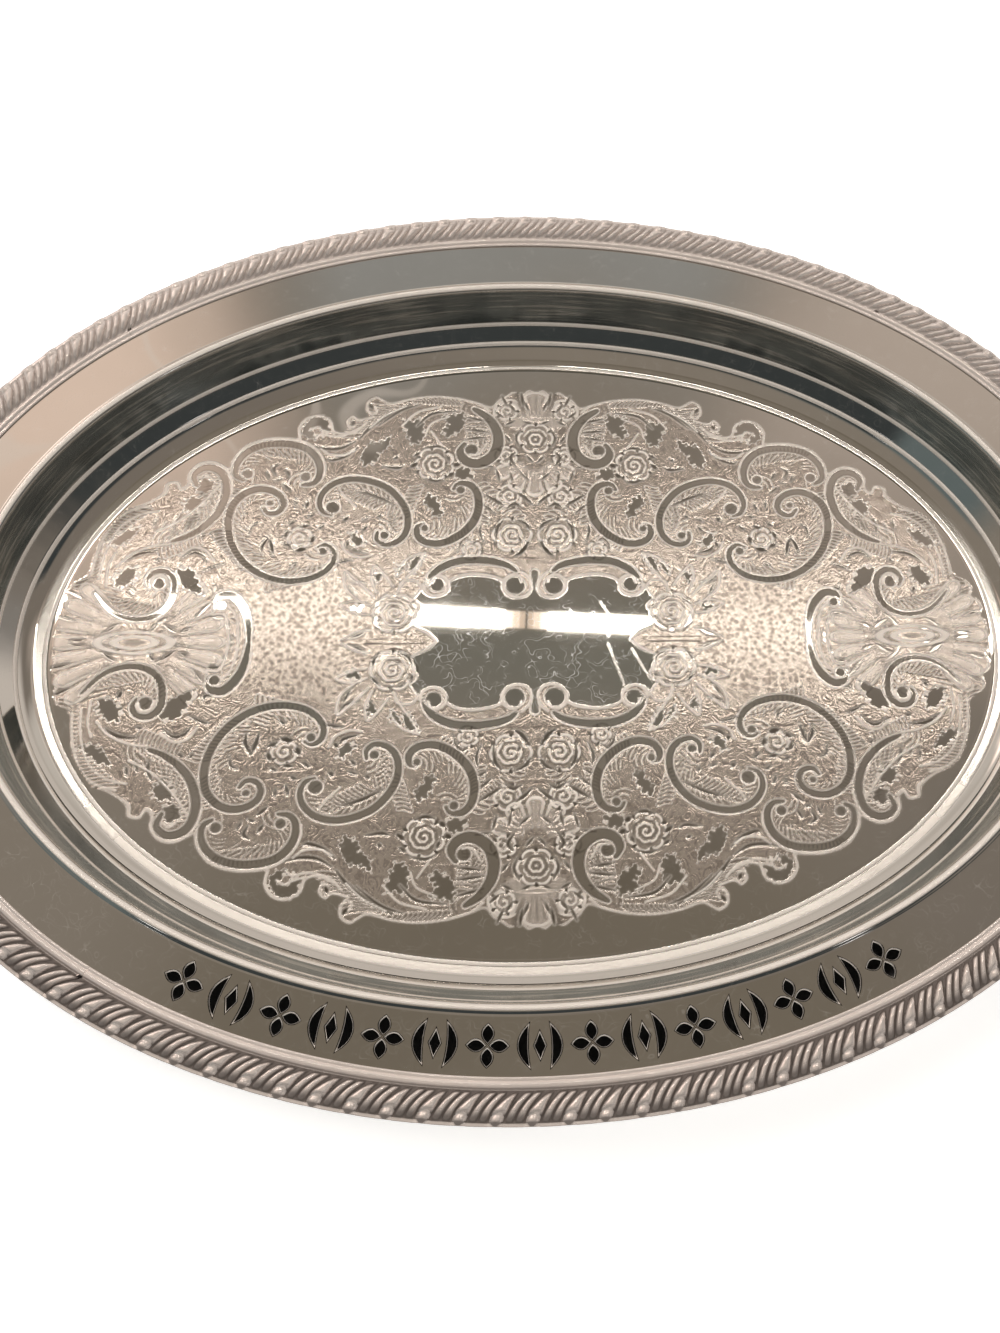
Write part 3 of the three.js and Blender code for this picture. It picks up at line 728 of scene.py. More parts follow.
def draw_ornament(x, y):
    """The whole ornament at points of the quarter."""
    art = Ornament(x, y)
    gap = outline_gap(x, y, closed_quarter(GROUND))
    art.matte = inside_share(gap)
    art.height = GROUND_RISE * art.matte
    art.line = GROUND_OUTLINE * smoothstep(0.7, 0.3, np.abs(gap + 0.35))
    middle_gap = outline_gap(x, y, closed_quarter(CARTOUCHE))
    art.sink(EVERYWHERE, middle_gap, CARTOUCHE_DEPTH, CARTOUCHE_DARK, CARTOUCHE_OUTLINE)
    art.worn = smoothstep(1.0, -1.0, middle_gap)
    for points in FEATHERS:
        art.feather(*points)
    for half, points in SCROLLS[1:]:
        art.plume(half, points)
    art.pitted = smoothstep(1.1, 0.85, np.hypot((x - PITTED[0]) / PITTED[1], y / PITTED[2]))
    art.fine *= 1 - art.pitted
    for points in SHELLS:
        art.shell(*points)
    art.eye(*EYE)
    for rose in ROSES:
        art.rose(*rose)
    for points in POOLS:
        art.pool(points)
    for half, points in CUTS:
        art.cut(half, points)
    for half, points in SCROLLS:
        art.band(half, points)
    for disc in DISCS:
        art.disc(*disc)
    for half, points in LINES:
        art.bright_line(half, points)
    return art


# The sheet: its section, and the mesh that is swept and joined from it

# Fine raised lines and grooves of the section: place along the upper face, half width, height
BEADS = [(-0.95, 0.6, -0.03), (0.1, 0.6, 0.12)]
BEAD_AT_COVE = (0.9, 0.22)
BEAD_AT_CREASE = (0.8, 0.28)
# Painted highlight on the raised beads and the ridge, and painted shade on the wall above the crease
BEAD_SHINE = 0.95
RIDGE_SHINE = 1.0
WALL_SHADE = 0.92
# The cove's first millimetres, which rise as a nearly plain slope, and how strongly a light band is
# painted on them as a highlight, all round and more at the front
COVE_FLAT = [(0.9, 0.05), (1.8, 0.176), (2.7, 0.307), (3.6, 0.444)]
COVE_FLAT_SHINE = 0.3
FRONT_COVE_SHINE = 0.74
# Painted shade on the front slope from the cove to the crease
FRONT_CREASE_SHADE = 0.8
FLOOR_MARGIN = 2.4
SHARP_ANGLE = 38
# Steps along the section: to work it out, and between its rings
DENSE_STEP = 0.05
FINE_STEP = 0.18
RIDGE_STEP = 0.3
COARSE_STEP = 0.62
RIDGE_STEPS = 12
# The crease is rounded by averages over this many steps, taken this often
CREASE_WINDOW = 7
CREASE_ROUNDING = 5
# Span of the flattened sheet on its map
UV_SPAN = 660.0

# Front arc of the flange, which the pierced ornament takes
PIERCED_START = 20.6
PIERCED_END = 34.4
UNDERSIDE_SKIP = 4

MOTIF_COUNT = 15
MOTIF_PITCH = 14.2
MOTIF_HEIGHT = 11.0
LEAF_WIDTH = 2.9
CRESCENT_HOLLOW = 0.9
LOZENGE_WIDTH = 3.0
LOZENGE_HEIGHT = 6.8
MOTIF_BRIDGE = 1.5
MOTIF_LINE = (FLANGE_START + BORDER_INNER) / 2
OPENING_BEVEL = 0.4
OPENING_BEVEL_SLOPE = 0.7
OPENING_LOW_BEVEL = 0.2
# Painted highlight on the openings' bevelled edges
OPENING_SHINE = 0.95
CURVE_STEPS = 10


def corner_profile(arc_steps, first_run):
    """The section by its corners, from the floor's edge to the rim; first_run opens the cove."""
    points = [(0.0, 0.0), *first_run]
    arc_start = points[-1][0] + 0.9 if first_run else 0
    turn = 2 * math.atan2(COVE_RISE, COVE_WIDTH)
    radius = COVE_WIDTH / math.sin(turn)
    for i in range(1, arc_steps + 1):
        angle = turn * i / arc_steps
        if radius * math.sin(angle) > arc_start:
            points.append((radius * math.sin(angle), radius * (1 - math.cos(angle))))
    points.append((CREASE_OFFSET, CREASE_RISE))
    for i in range(RIDGE_STEPS + 1):
        share = i / RIDGE_STEPS
        crown = RIDGE_HEIGHT * math.sin(math.pi * share)
        points.append((WALL_TOP_OFFSET + RIDGE_WIDTH * share, WALL_RISE + crown))
    points.append((PIERCED_START, WALL_RISE))
    points.append((EDGE_OFFSET, WALL_RISE))
    return np.array([(-FLOOR_MARGIN, 0.0), *points])


def length_along(points):
    return np.concatenate([[0], np.cumsum(np.hypot(*np.diff(points, axis=0).T))])


def upper_section():
    """Rings (offset, height), close together at raised lines, and four tones for each ring: painted
    highlight, painted light band, painted wall shade, painted slope shade.
    """
    corners = corner_profile(12, COVE_FLAT)
    along = length_along(corners)
    dense_at = np.arange(0, along[-1], DENSE_STEP)
    dense = np.stack([np.interp(dense_at, along, corners[:, i]) for i in (0, 1)], axis=1)
    side = CREASE_WINDOW // 2
    beyond_flat = (dense[side:-side, :1] > COVE_FLAT[-1][0])
    kernel = np.ones(CREASE_WINDOW) / CREASE_WINDOW
    for _ in range(CREASE_ROUNDING):
        middle = np.stack([np.convolve(dense[:, i], kernel, "valid") for i in (0, 1)], axis=1)
        dense[side:-side] = np.where(beyond_flat, middle, dense[side:-side])

    def reached(offset):
        return float(np.interp(offset, dense[:, 0], dense_at))

    cove_end = reached(COVE_WIDTH)
    crease = reached(CREASE_OFFSET)
    ridge = reached(WALL_TOP_OFFSET)
    pierced_start = reached(PIERCED_START)
    beads = [(place + FLOOR_MARGIN, half, rise) for place, half, rise in BEADS]
    beads.append((cove_end, *BEAD_AT_COVE))
    beads.append((crease, *BEAD_AT_CREASE))
    places = [0.0]
    while places[-1] < pierced_start - COARSE_STEP:
        here = places[-1]
        near_bead = any(abs(here - place) < half + COARSE_STEP for place, half, rise in beads)
        on_ridge = ridge - 1 < here < pierced_start
        places.append(here + (FINE_STEP if near_bead else RIDGE_STEP if on_ridge else COARSE_STEP))
    flat_end = pierced_start + (PIERCED_END - PIERCED_START)
    rim = reached(EDGE_OFFSET - 0.01)
    places = np.array([*places, pierced_start, flat_end, flat_end + 3, flat_end + 8, rim])

    slope = unit(np.gradient(dense, axis=0))
    rise = np.zeros(len(places))
    # Painted highlight on the ridge, and a light band painted as a highlight on the cove's plain slope
    shine = RIDGE_SHINE * smoothstep(1.25, 0.5, np.abs(places - ridge - RIDGE_WIDTH / 2))
    flat_middle = FLOOR_MARGIN + (COVE_FLAT[0][0] + COVE_FLAT[-1][0]) / 2
    satin_and_highlight = smoothstep(1.7, 1.2, np.abs(places - flat_middle))
    # Painted shade on the wall from the crease to the ridge, and on the slope from the cove to the crease
    shade = WALL_SHADE * smoothstep(crease, crease + 1.5, places)
    shade = shade * smoothstep(ridge, ridge - 1.0, places)
    slope_shade = smoothstep(cove_end, cove_end + 1.0, places)
    slope_shade = slope_shade * smoothstep(crease, crease - 1.0, places)
    # Painted highlight on the raised beads
    for place, half, height in beads:
        bead = np.cos(math.pi / 2 * np.clip((places - place) / half, -1, 1)) ** 2
        rise += height * bead
        if height > 0:
            shine = np.maximum(shine, BEAD_SHINE * smoothstep(0, 0.15, bead))
    section = np.empty((len(places), 2))
    for i, sign in ((0, -1), (1, 1)):
        section[:, i] = np.interp(places, dense_at, dense[:, i])
        section[:, i] += sign * rise * np.interp(places, dense_at, slope[:, 1 - i])
    section[-1, 0] = EDGE_OFFSET
    return section, (shine, satin_and_highlight, shade, slope_shade)


def lower_section():
    """The lower face's section, the upper one's corners moved by the sheet's thickness."""
    corners = corner_profile(6, [])[1:]
    before = np.diff(np.vstack([corners[:1] - [1, 0], corners]), axis=0)
    after = unit(np.vstack([before[1:], before[-1:]]))
    before = unit(before)
    normal_before = np.stack([before[:, 1], -before[:, 0]], axis=1)
    mitre = unit(normal_before + np.stack([after[:, 1], -after[:, 0]], axis=1))
    moved = corners + mitre * (SHEET / (mitre * normal_before).sum(1))[:, None]
    inner = moved[moved[:, 0] <= PIERCED_START - 0.5]
    outer = [(offset, WALL_RISE - SHEET) for offset in (PIERCED_START, PIERCED_END, EDGE_OFFSET)]
    return np.vstack([inner, outer])


class MeshMaker:
    """Gathers points and faces of one mesh."""

    def __init__(self):
        self.points = []
        self.flat_uv = []
        self.faces = []
        self.count = 0

    def add_points(self, x, y, z, u, v):
        """Adds points with their places on the flattened map and returns their numbers."""
        numbers = np.arange(self.count, self.count + len(x))
        self.points.append(np.stack([x, y, np.broadcast_to(z, len(x))], axis=1))
        self.flat_uv.append(np.stack([u, v], axis=1))
        self.count += len(x)
        return numbers

    def quads(self, *corners):
        """Faces whose four corners are given as four arrays of point numbers."""
        self.faces.extend(np.stack([corner.ravel() for corner in corners], axis=1).tolist())

    def strip(self, inner, outer, skip=None):
        """Quads between two closed runs, counter-clockwise from above; skip masks cells."""
        runs = (inner, outer, np.roll(outer, -1), np.roll(inner, -1))
        if skip is not None:
            runs = [run[~skip] for run in runs]
        self.quads(*runs)

    def arrays(self):
        return np.vstack(self.points), self.faces, np.vstack(self.flat_uv)


def quadratic(start, control, end):
    """A quadratic curve's points, without its last."""
    t = (np.arange(CURVE_STEPS) / CURVE_STEPS)[:, None]
    return (1 - t) ** 2 * np.array(start) + 2 * t * (1 - t) * np.array(control) + t**2 * np.array(end)


def motif_openings(index):
    """Outlines of one motif, counter-clockwise, with y pointing outward on the flange."""
    reach = MOTIF_HEIGHT / 2
    if index % 2 == 0:
        start = MOTIF_BRIDGE / 2
        middle = (start + reach) / 2
        leaf = np.vstack([quadratic((start, 0), (middle, -LEAF_WIDTH), (reach, 0)),
                          quadratic((reach, 0), (middle, LEAF_WIDTH), (start, 0))])
        turns = [np.array([[c, s], [-s, c]]) for c, s in ((1, 0), (0, 1), (-1, 0), (0, -1))]
        return [leaf @ turn for turn in turns]
    x = LOZENGE_WIDTH / 2 + MOTIF_BRIDGE
    right = np.vstack([quadratic((x, -reach), (x + 2 * LEAF_WIDTH, 0), (x, reach)),
                       quadratic((x, reach), (x + CRESCENT_HOLLOW, 0), (x, -reach))])
    left = (right * [-1, 1])[::-1]
    across, along = LOZENGE_WIDTH / 2, LOZENGE_HEIGHT / 2
    lozenge = [(-across, 0), (0, -along), (across, 0), (0, along)]
    return [left, np.array(lozenge), right]


def pierced_outlines():
    """Every opening's outline in the frame, at the wall of the opening."""
    arcs = ArcTable(MOTIF_LINE)
    outlines = []
    for i in range(MOTIF_COUNT):
        along = (i - (MOTIF_COUNT - 1) / 2) * MOTIF_PITCH
        angle = float(arcs.angle_at(arcs.total * 0.75 + along))
        x, y = oval_point(np.array([angle]), MOTIF_LINE)
        inner_x, inner_y = oval_point(np.array([angle]), 0)
        outward = np.array([x[0] - inner_x[0], y[0] - inner_y[0]]) / MOTIF_LINE
        turn = np.array([[outward[1], -outward[0]], [outward[0], outward[1]]])
        for outline in motif_openings(i):
            outlines.append(outline @ turn + [x[0], y[0]])
    return outlines


def grown(outline, distance):
    """A counter-clockwise outline moved outward, mitred."""
    after = unit(np.roll(outline, -1, axis=0) - outline)
    before = np.roll(after, 1, axis=0)
    mitre = unit(np.stack([before[:, 1] + after[:, 1], -before[:, 0] - after[:, 0]], axis=1))
    cosine = mitre[:, 0] * after[:, 1] - mitre[:, 1] * after[:, 0]
    return outline + mitre * (distance / np.maximum(cosine, 0.35))[:, None]


def flange_uv(points, shift, below):
    """Places on the flattened sheet for points of the flange."""
    angle, offset = oval_coordinates(points)
    return sheet_uv(angle, offset + shift, below)


def fill_pierced(maker, outer_run, inner_run, outlines, z, shift, below):
    """Fills the flange's front arc round its openings and returns each opening's point numbers."""
    border = np.concatenate([outer_run, inner_run[::-1]])
    border_at = np.vstack(maker.points)[border][:, :2]
    if signed_area(border_at) < 0:
        border = border[::-1]
        border_at = border_at[::-1]
    loops = [border_at, *outlines]
    edges = []
    start = 0
    for loop in loops:
        edges += [(start + i, start + (i + 1) % len(loop)) for i in range(len(loop))]
        start += len(loop)
    flat = [Vector(point) for point in np.vstack(loops)]
    points, _, faces, origins, _, _ = delaunay_2d_cdt(flat, edges, [], 0, 1e-5)
    placed = np.array([(point.x, point.y) for point in points])
    triangles = np.array(faces)
    middles = placed[triangles].mean(1)
    keep = inside_outline(*middles.T, border_at)
    for outline in outlines:
        keep &= ~inside_outline(*middles.T, outline)
    new = np.vstack(outlines)
    added = maker.add_points(*new.T, z, *flange_uv(new, shift, below))
    numbers = np.concatenate([border, added])
    of_point = np.array([numbers[origin[0]] for origin in origins])
    kept = of_point[triangles[keep]]
    a, b, c = (placed[triangles[keep]][:, i] for i in range(3))
    area = (b[:, 0] - a[:, 0]) * (c[:, 1] - a[:, 1]) - (b[:, 1] - a[:, 1]) * (c[:, 0] - a[:, 0])
    turned = (area > 0) == below
    kept[turned] = kept[turned][:, ::-1]
    maker.faces.extend(kept.tolist())
    sizes = [len(outline) for outline in outlines]
    return np.split(added, np.cumsum(sizes)[:-1])


def sheet_uv(angle, spread, below):
    """Place on the flattened sheet: the upper face above, the lower face below."""
    x, y = oval_point(angle, spread)
    return 0.5 + x / UV_SPAN, (0.25 if below else 0.75) + y / UV_SPAN


def floor_grid():
    """A square grid bent to the floor's oval: x, y, share of the radius, and angle."""
    side = np.linspace(-1, 1, FLOOR_CELLS + 1)
    a, b = np.meshgrid(side, side, indexing="ij")
    wide = np.abs(a) >= np.abs(b)
    with np.errstate(divide="ignore", invalid="ignore"):
        radius = np.where(wide, a, b)
        turn = np.where(wide, math.pi / 4 * b / a, math.pi / 2 - math.pi / 4 * a / b)
    turn = np.where(radius == 0, 0, turn).ravel()
    radius = radius.ravel()
    x, y = oval_point(turn, -FLOOR_MARGIN)
    return x * radius, y * radius, radius, turn


def floor_art(x, y):
    """The ornament at points of the whole floor, with the long scratches."""
    own_x, own_y = ornament_place(x, y)
    art = draw_ornament(np.abs(own_x), np.abs(own_y))
    for ends in SCRATCHES:
        gap = stroke_gap(x, y, np.array(ends), (SCRATCH_HALF, SCRATCH_HALF))
        art.brighten(EVERYWHERE, SCRATCH_SHINE * smoothstep(0.3, 0.0, gap) * art.worn)
    return art


def edge_ring(grid, radius, turn):
    """The floor grid's outer points, in the order of the stations round the oval."""
    edge = np.unique(np.concatenate([grid[0], grid[-1], grid[:, 0], grid[:, -1]]))
    angle = np.where(radius < 0, turn + math.pi, turn)[edge]
    station = np.round(angle / (2 * math.pi) * STATIONS).astype(int) % STATIONS
    ring = np.empty(STATIONS, int)
    ring[station] = edge
    return ring


def pierced_reach():
    """How many stations the pierced arc takes to each side of the front."""
    arcs = ArcTable(MOTIF_LINE)
    reach = (MOTIF_COUNT - 1) / 2 * MOTIF_PITCH + MOTIF_HEIGHT / 2 + 3
    first_angle = arcs.angle_at(arcs.total * 0.75 - reach)
    stations = FRONT_STATION - first_angle / (2 * math.pi) * STATIONS
    return int(math.ceil(stations / UNDERSIDE_SKIP)) * UNDERSIDE_SKIP


def sweep(maker, angles, section, spread, below):
    """A ring of points round the oval for each place of the section."""
    rings = []
    for (offset, z), out in zip(section, spread):
        x, y = oval_point(angles, offset)
        rings.append(maker.add_points(x, y, SHEET + z, *sheet_uv(angles, out, below)))
    return rings


def paint_sheet(sheet, art, rings, painted_light_by_ring, bright_edges):
    """Writes the tones of each point: the ornament's on the floor, and beyond it the section's painted
    highlights and painted shade, and the painted highlight of the openings' edges.
    """
    shine, satin_and_highlight, shade, slope_shade = painted_light_by_ring
    toward_back = np.sin(2 * math.pi * np.arange(STATIONS) / STATIONS)
    # The cove's painted highlight is strongest at the front, and the slope below the crease has painted
    # shade only at the front
    cove_highlight_round = COVE_FLAT_SHINE * smoothstep(0.6, 0.2, toward_back)
    cove_highlight_round += (FRONT_COVE_SHINE - COVE_FLAT_SHINE) * smoothstep(-0.3, -0.7, toward_back)
    front_shade = FRONT_CREASE_SHADE * smoothstep(-0.2, -0.6, toward_back)
    values = {}
    for name in ("matte", "line", "dark", "fine", "pitted", "worn"):
        values[name] = np.zeros(len(sheet.data.vertices))
        values[name][:len(art.x)] = getattr(art, name)
    values["shade"] = np.zeros(len(sheet.data.vertices))
    for i, ring in enumerate(rings[1:], 1):
        values["line"][ring] = np.maximum(shine[i], satin_and_highlight[i] * cove_highlight_round)
        values["shade"][ring] = np.maximum(shade[i], slope_shade[i] * front_shade)
    # Painted highlight on the openings' bevelled edges
    values["line"][bright_edges] = OPENING_SHINE
    for name, numbers in values.items():
        add_attribute(sheet, name, numbers)


def build_sheet(material):
    maker = MeshMaker()
    x, y, radius, turn = floor_grid()
    art = floor_art(x, y)
    grid = maker.add_points(x, y, SHEET + art.height, 0.5 + x / UV_SPAN, 0.75 + y / UV_SPAN)
    grid = grid.reshape(FLOOR_CELLS + 1, FLOOR_CELLS + 1)
    maker.quads(grid[:-1, :-1], grid[1:, :-1], grid[1:, 1:], grid[:-1, 1:])

    angles = 2 * math.pi * np.arange(STATIONS) / STATIONS
    half = pierced_reach()
    pierced = np.zeros(STATIONS, bool)
    pierced[FRONT_STATION - half:FRONT_STATION + half] = True

    section, painted_light_by_ring = upper_section()
    spread = length_along(section) - FLOOR_MARGIN
    rings = [edge_ring(grid, radius, turn)]
    rings += sweep(maker, angles, section[1:], spread[1:], False)
    inner, outer = (int(np.argmin(np.abs(section[:, 0] - place)))
                    for place in (PIERCED_START, PIERCED_END))
    for i in range(len(rings) - 1):
        maker.strip(rings[i], rings[i + 1], pierced if inner <= i < outer else None)

    outlines = pierced_outlines()
    edges = [grown(outline, OPENING_BEVEL) for outline in outlines]
    window = slice(FRONT_STATION - half, FRONT_STATION + half + 1)
    shift = spread[inner] - section[inner, 0]
    top_loops = fill_pierced(maker, rings[outer][window], rings[inner][window],
                             edges, FLANGE_TOP, shift, False)

    lower = lower_section()
    spread = length_along(lower)
    low_rings = sweep(maker, angles[::UNDERSIDE_SKIP], lower, spread, True)
    for i in range(len(low_rings) - 1):
        skip = pierced[::UNDERSIDE_SKIP] if i == len(low_rings) - 3 else None
        maker.strip(low_rings[i + 1], low_rings[i], skip)
    maker.faces.append(low_rings[0][::-1].tolist())
    rim_low = low_rings[-1]
    for i in range(len(rim_low)):
        first = i * UNDERSIDE_SKIP
        top = [rings[-1][(first + k) % STATIONS] for k in range(UNDERSIDE_SKIP + 1)]
        maker.faces.append([*top[::-1], rim_low[i], rim_low[(i + 1) % len(rim_low)]])

    window = slice(window.start // UNDERSIDE_SKIP, (window.stop - 1) // UNDERSIDE_SKIP + 1)
    low_shift = spread[-2] - lower[-2, 0]
    low_loops = fill_pierced(maker, low_rings[-2][window], low_rings[-3][window],
                             edges, FLANGE_TOP - SHEET, low_shift, True)

    # Points of the openings' bevels that get a painted highlight
    bright_edges = []
    bevel_end = FLANGE_TOP - OPENING_BEVEL * OPENING_BEVEL_SLOPE
    for outline, top, low in zip(outlines, top_loops, low_loops):
        inward = grown(outline, -OPENING_BEVEL)
        high = maker.add_points(*outline.T, bevel_end, *flange_uv(inward, shift, False))
        deep = maker.add_points(*outline.T, FLANGE_TOP - SHEET + OPENING_LOW_BEVEL,
                                *flange_uv(inward, low_shift, True))
        bright_edges.extend(high.tolist())
        for first, second in ((top, high), (high, deep), (deep, low)):
            maker.strip(first, second)

    points, faces, uv = maker.arrays()
    sheet = make_object("tray_sheet", points, faces, material)
    paint_sheet(sheet, art, rings, painted_light_by_ring, bright_edges)
    add_uv(sheet, uv)
    sheet.data.set_sharp_from_angle(angle=math.radians(SHARP_ANGLE))
    level_polished(sheet.data, art, np.concatenate(top_loops))
    return sheet


def level_polished(mesh, art, round_openings):
    """Shades the polished floor and flange as flat, right up to engraving and openings."""
    normals = np.empty((len(mesh.vertices), 3), np.float32)
    mesh.vertex_normals.foreach_get("vector", normals.ravel())
    count = len(art.x)
    rough_share = smoothstep(0.3, 0.8, np.maximum(art.matte, art.line))
    normals[:count, :2] *= rough_share[:, None]
    normals[:count] = unit(normals[:count])
    normals[count:] = 0
    normals[round_openings] = (0, 0, 1)
    mesh.normals_split_custom_set_from_vertices(normals.tolist())


def signed_area(points):
    x, y = points[:, 0], points[:, 1]
    return 0.5 * float(np.sum(x * np.roll(y, -1) - np.roll(x, -1) * y))


def oval_coordinates(points):
    """Angle and offset on the oval of points near the flange's pierced arc."""
    near = 27
    x, y = points.T
    angle = np.arctan2(y / (FLOOR_HALF_WIDTH + near), x / (FLOOR_HALF_LENGTH + near))
    for _ in range(12):
        tangent = [-FLOOR_HALF_LENGTH * np.sin(angle), FLOOR_HALF_WIDTH * np.cos(angle)]
        tangent = np.stack(tangent, axis=1)
        away = points - np.stack(oval_point(angle, 0), axis=1)
        size = (tangent**2).sum(1) + near * FLOOR_HALF_WIDTH
        angle = angle + 0.7 * (away * tangent).sum(1) / size
    edge_x, edge_y = oval_point(angle, 0)
    return angle, np.hypot(x - edge_x, y - edge_y)


def add_uv(obj, uv):
    """A flattened map of the points, named OFBake."""
    layer = obj.data.uv_layers.new(name="OFBake")
    corner_points = np.empty(len(obj.data.loops), np.int32)
    obj.data.loops.foreach_get("vertex_index", corner_points)
    layer.data.foreach_set("uv", np.asarray(uv, np.float32)[corner_points].ravel())


# The struck border, in four lengths that meet along a valley

BORDER_NAMES = ["border_right", "border_back", "border_left", "border_front"]
BORDER_BASE = 0.02
BORDER_GAP = 0.03
LOBE_STEPS = 36
SECTION_STEPS = 56
# Plain reeds at the inner edge: offset, half width, height
PLAIN_REEDS = ((36.1, 0.6, 0.5), (37.75, 1.0, 0.95))
REED_END = 39.2
# The dark groove between them and the lobes, darkened as oxide with painted shade
GROOVE_START = 38.5
GROOVE_END = 39.6
GROOVE_RECESS = 0.5
LOBE_SHARE = 0.44
LEAN = 6.1
LEAN_POWER = 1.8
SINGLE_REED_SHARE = 0.28
LOBE_RISE = 1.6
REED_RISE = 1.0
BEAD_RADIUS = 1.75
BEAD_PLACE = 46.5
BEAD_CENTRE_HEIGHT = 0.4
LIP_PLACE = 0.9
LIP_RISE = 0.85
# Painted shade on the lobes' outer part and on the beads' outer side, and the share of the painted shade
# kept along the back
OUTER_PAINTED_SHADE = 0.85
BACK_SHADE_SHARE = 0.45


def concentric_height(offset):
    """The plain reeds at the border's inner edge."""
    height = np.full(offset.shape, 0.25)
    for centre, half, rise in PLAIN_REEDS:
        height = np.maximum(height, 0.15 + rise * arch((offset - centre) / half))
    return height


def lobe_place(offset):
    """Place along a lobe: 0 at the plain reeds, 1 at the outer edge."""
    return np.clip((offset - REED_END) / (BORDER_OUTER - REED_END), 0, 1)


def struck_height(phase, offset, pitch):
    """Height, and darkening as oxide with painted shade, of a lobe with a bead at its foot and of two
    reeds beside it.
    """
    w = lobe_place(offset)
    dome = 0.3 + 0.95 * smoothstep(0, 0.32, w) * (1 - 0.55 * smoothstep(0.5, 0.84, w))
    lip = LIP_RISE * arch((w - LIP_PLACE) / (1 - LIP_PLACE))
    lobe_half = LOBE_SHARE / 2 * (0.4 + 0.6 * smoothstep(0, 0.7, w))
    lobe_across = (phase - LOBE_SHARE / 2) / lobe_half
    along = smoothstep(-0.02, 0.26, w) * (1 - 0.75 * smoothstep(0.5, 0.8, w))
    relief = LOBE_RISE * along * arch(lobe_across)
    ends = smoothstep(0, 0.12, w) * smoothstep(0.98, 0.7, w)
    for centre in (LOBE_SHARE + SINGLE_REED_SHARE / 2, LOBE_SHARE + SINGLE_REED_SHARE * 1.5):
        across = (phase - centre) / (SINGLE_REED_SHARE / 2 * 0.8)
        relief = np.maximum(relief, REED_RISE * arch(across) * ends)
    bead_along = (phase - LOBE_SHARE / 2) * pitch
    ball = BEAD_RADIUS**2 - (offset - BEAD_PLACE) ** 2 - bead_along**2
    bead = np.where(ball > 0, BEAD_CENTRE_HEIGHT + np.sqrt(np.clip(ball, 0, None)), 0)
    height = np.maximum(np.maximum(dome + relief, bead), lip)
    # Oxide in the hollows with painted shade: round the bead, between the lobes, on the lobes' outer part
    # and on the bead's outer side
    clear = (bead <= 0) & (w < LIP_PLACE)
    ring = smoothstep(2.6, 0.2, np.abs(ball)) * smoothstep(0.55, 0.7, w) * clear
    valley = smoothstep(1.05, 0.35, relief) * clear
    outer = OUTER_PAINTED_SHADE * smoothstep(0.45, 0.78, w) * clear
    foot = OUTER_PAINTED_SHADE * smoothstep(0.1, 0.9, offset - BEAD_PLACE) * (bead > 0)
    return height, np.maximum(np.maximum(valley, ring), np.maximum(outer, foot))


def build_border(index, material):
    arcs = ArcTable(BORDER_OUTER)
    pitch = arcs.total / (LOBES_PER_LENGTH * 4)
    columns = LOBES_PER_LENGTH * LOBE_STEPS + 1
    count = np.linspace(0, LOBES_PER_LENGTH, columns)
    inner = np.linspace(BORDER_INNER, REED_END, SECTION_STEPS // 3, endpoint=False)
    outer = np.linspace(REED_END, BORDER_OUTER, SECTION_STEPS - len(inner))
    offsets = np.concatenate([inner, outer])
    phase, offset = np.meshgrid(count % 1.0, offsets, indexing="ij")
    height, oxide_and_shade = struck_height(phase, offset, pitch)
    reeded = concentric_height(offset)
    height = np.where(offset < REED_END, reeded, height)
    # Oxide with painted shade between the plain reeds and in the groove
    oxide_and_shade = np.where(offset < REED_END, smoothstep(0.32, 0.2, reeded), oxide_and_shade)
    groove = (offset > GROOVE_START) & (offset < GROOVE_END)
    oxide_and_shade = np.where(groove, np.maximum(oxide_and_shade, GROOVE_RECESS), oxide_and_shade)
    lean = LEAN * (1 - lobe_place(offset)) ** LEAN_POWER
    start = (index - 0.5) * LOBES_PER_LENGTH
    along = (start + count)[:, None] * pitch + lean
    along[-1] -= BORDER_GAP
    angle = arcs.angle_at(along + arcs.total)
    # The painted shade is lighter along the back
    oxide_and_shade = oxide_and_shade * (1 - (1 - BACK_SHADE_SHARE) * smoothstep(0.0, 0.6, np.sin(angle)))

    maker = MeshMaker()
    base = FLANGE_TOP + BORDER_BASE
    x, y = oval_point(angle, offset)
    across = length_along(np.stack([offsets, height[9]], axis=1))
    u = np.broadcast_to((np.arange(columns) / columns)[:, None], x.shape)
    v = np.broadcast_to(0.05 + across * 0.04, x.shape)
    top = maker.add_points(x.ravel(), y.ravel(), (base + height).ravel(), u.ravel(), v.ravel())
    top = top.reshape(x.shape)
    maker.quads(top[:-1, :-1], top[:-1, 1:], top[1:, 1:], top[1:, :-1])
    low = []
    for side, place in enumerate((BORDER_INNER, BORDER_OUTER - BORDER_OVERHANG * 2)):
        x, y = oval_point(angle[:, -side], place)
        low.append(maker.add_points(x, y, base, u[:, 0], np.full(columns, 0.02 + 0.9 * side)))
    for first, second in ((low[0], top[:, 0]), (top[:, -1], low[1]), (low[1], low[0])):
        maker.quads(first[:-1], second[:-1], second[1:], first[1:])
    maker.faces.append([low[0][0], low[1][0], *top[0][::-1].tolist()])
    maker.faces.append([low[1][-1], low[0][-1], *top[-1].tolist()])

    points, faces, uv = maker.arrays()
    name = "gadroon_" + BORDER_NAMES[index].removeprefix("border_")
    length = make_object(name, points, faces, material)
    values = np.zeros(len(points))
    values[:oxide_and_shade.size] = oxide_and_shade.ravel()
    add_attribute(length, "oxide_and_shade", values)
    add_uv(length, uv)
    return length


# Materials

SILVER = (0.83, 0.79, 0.73)
POLISHED_ROUGHNESS = 0.018
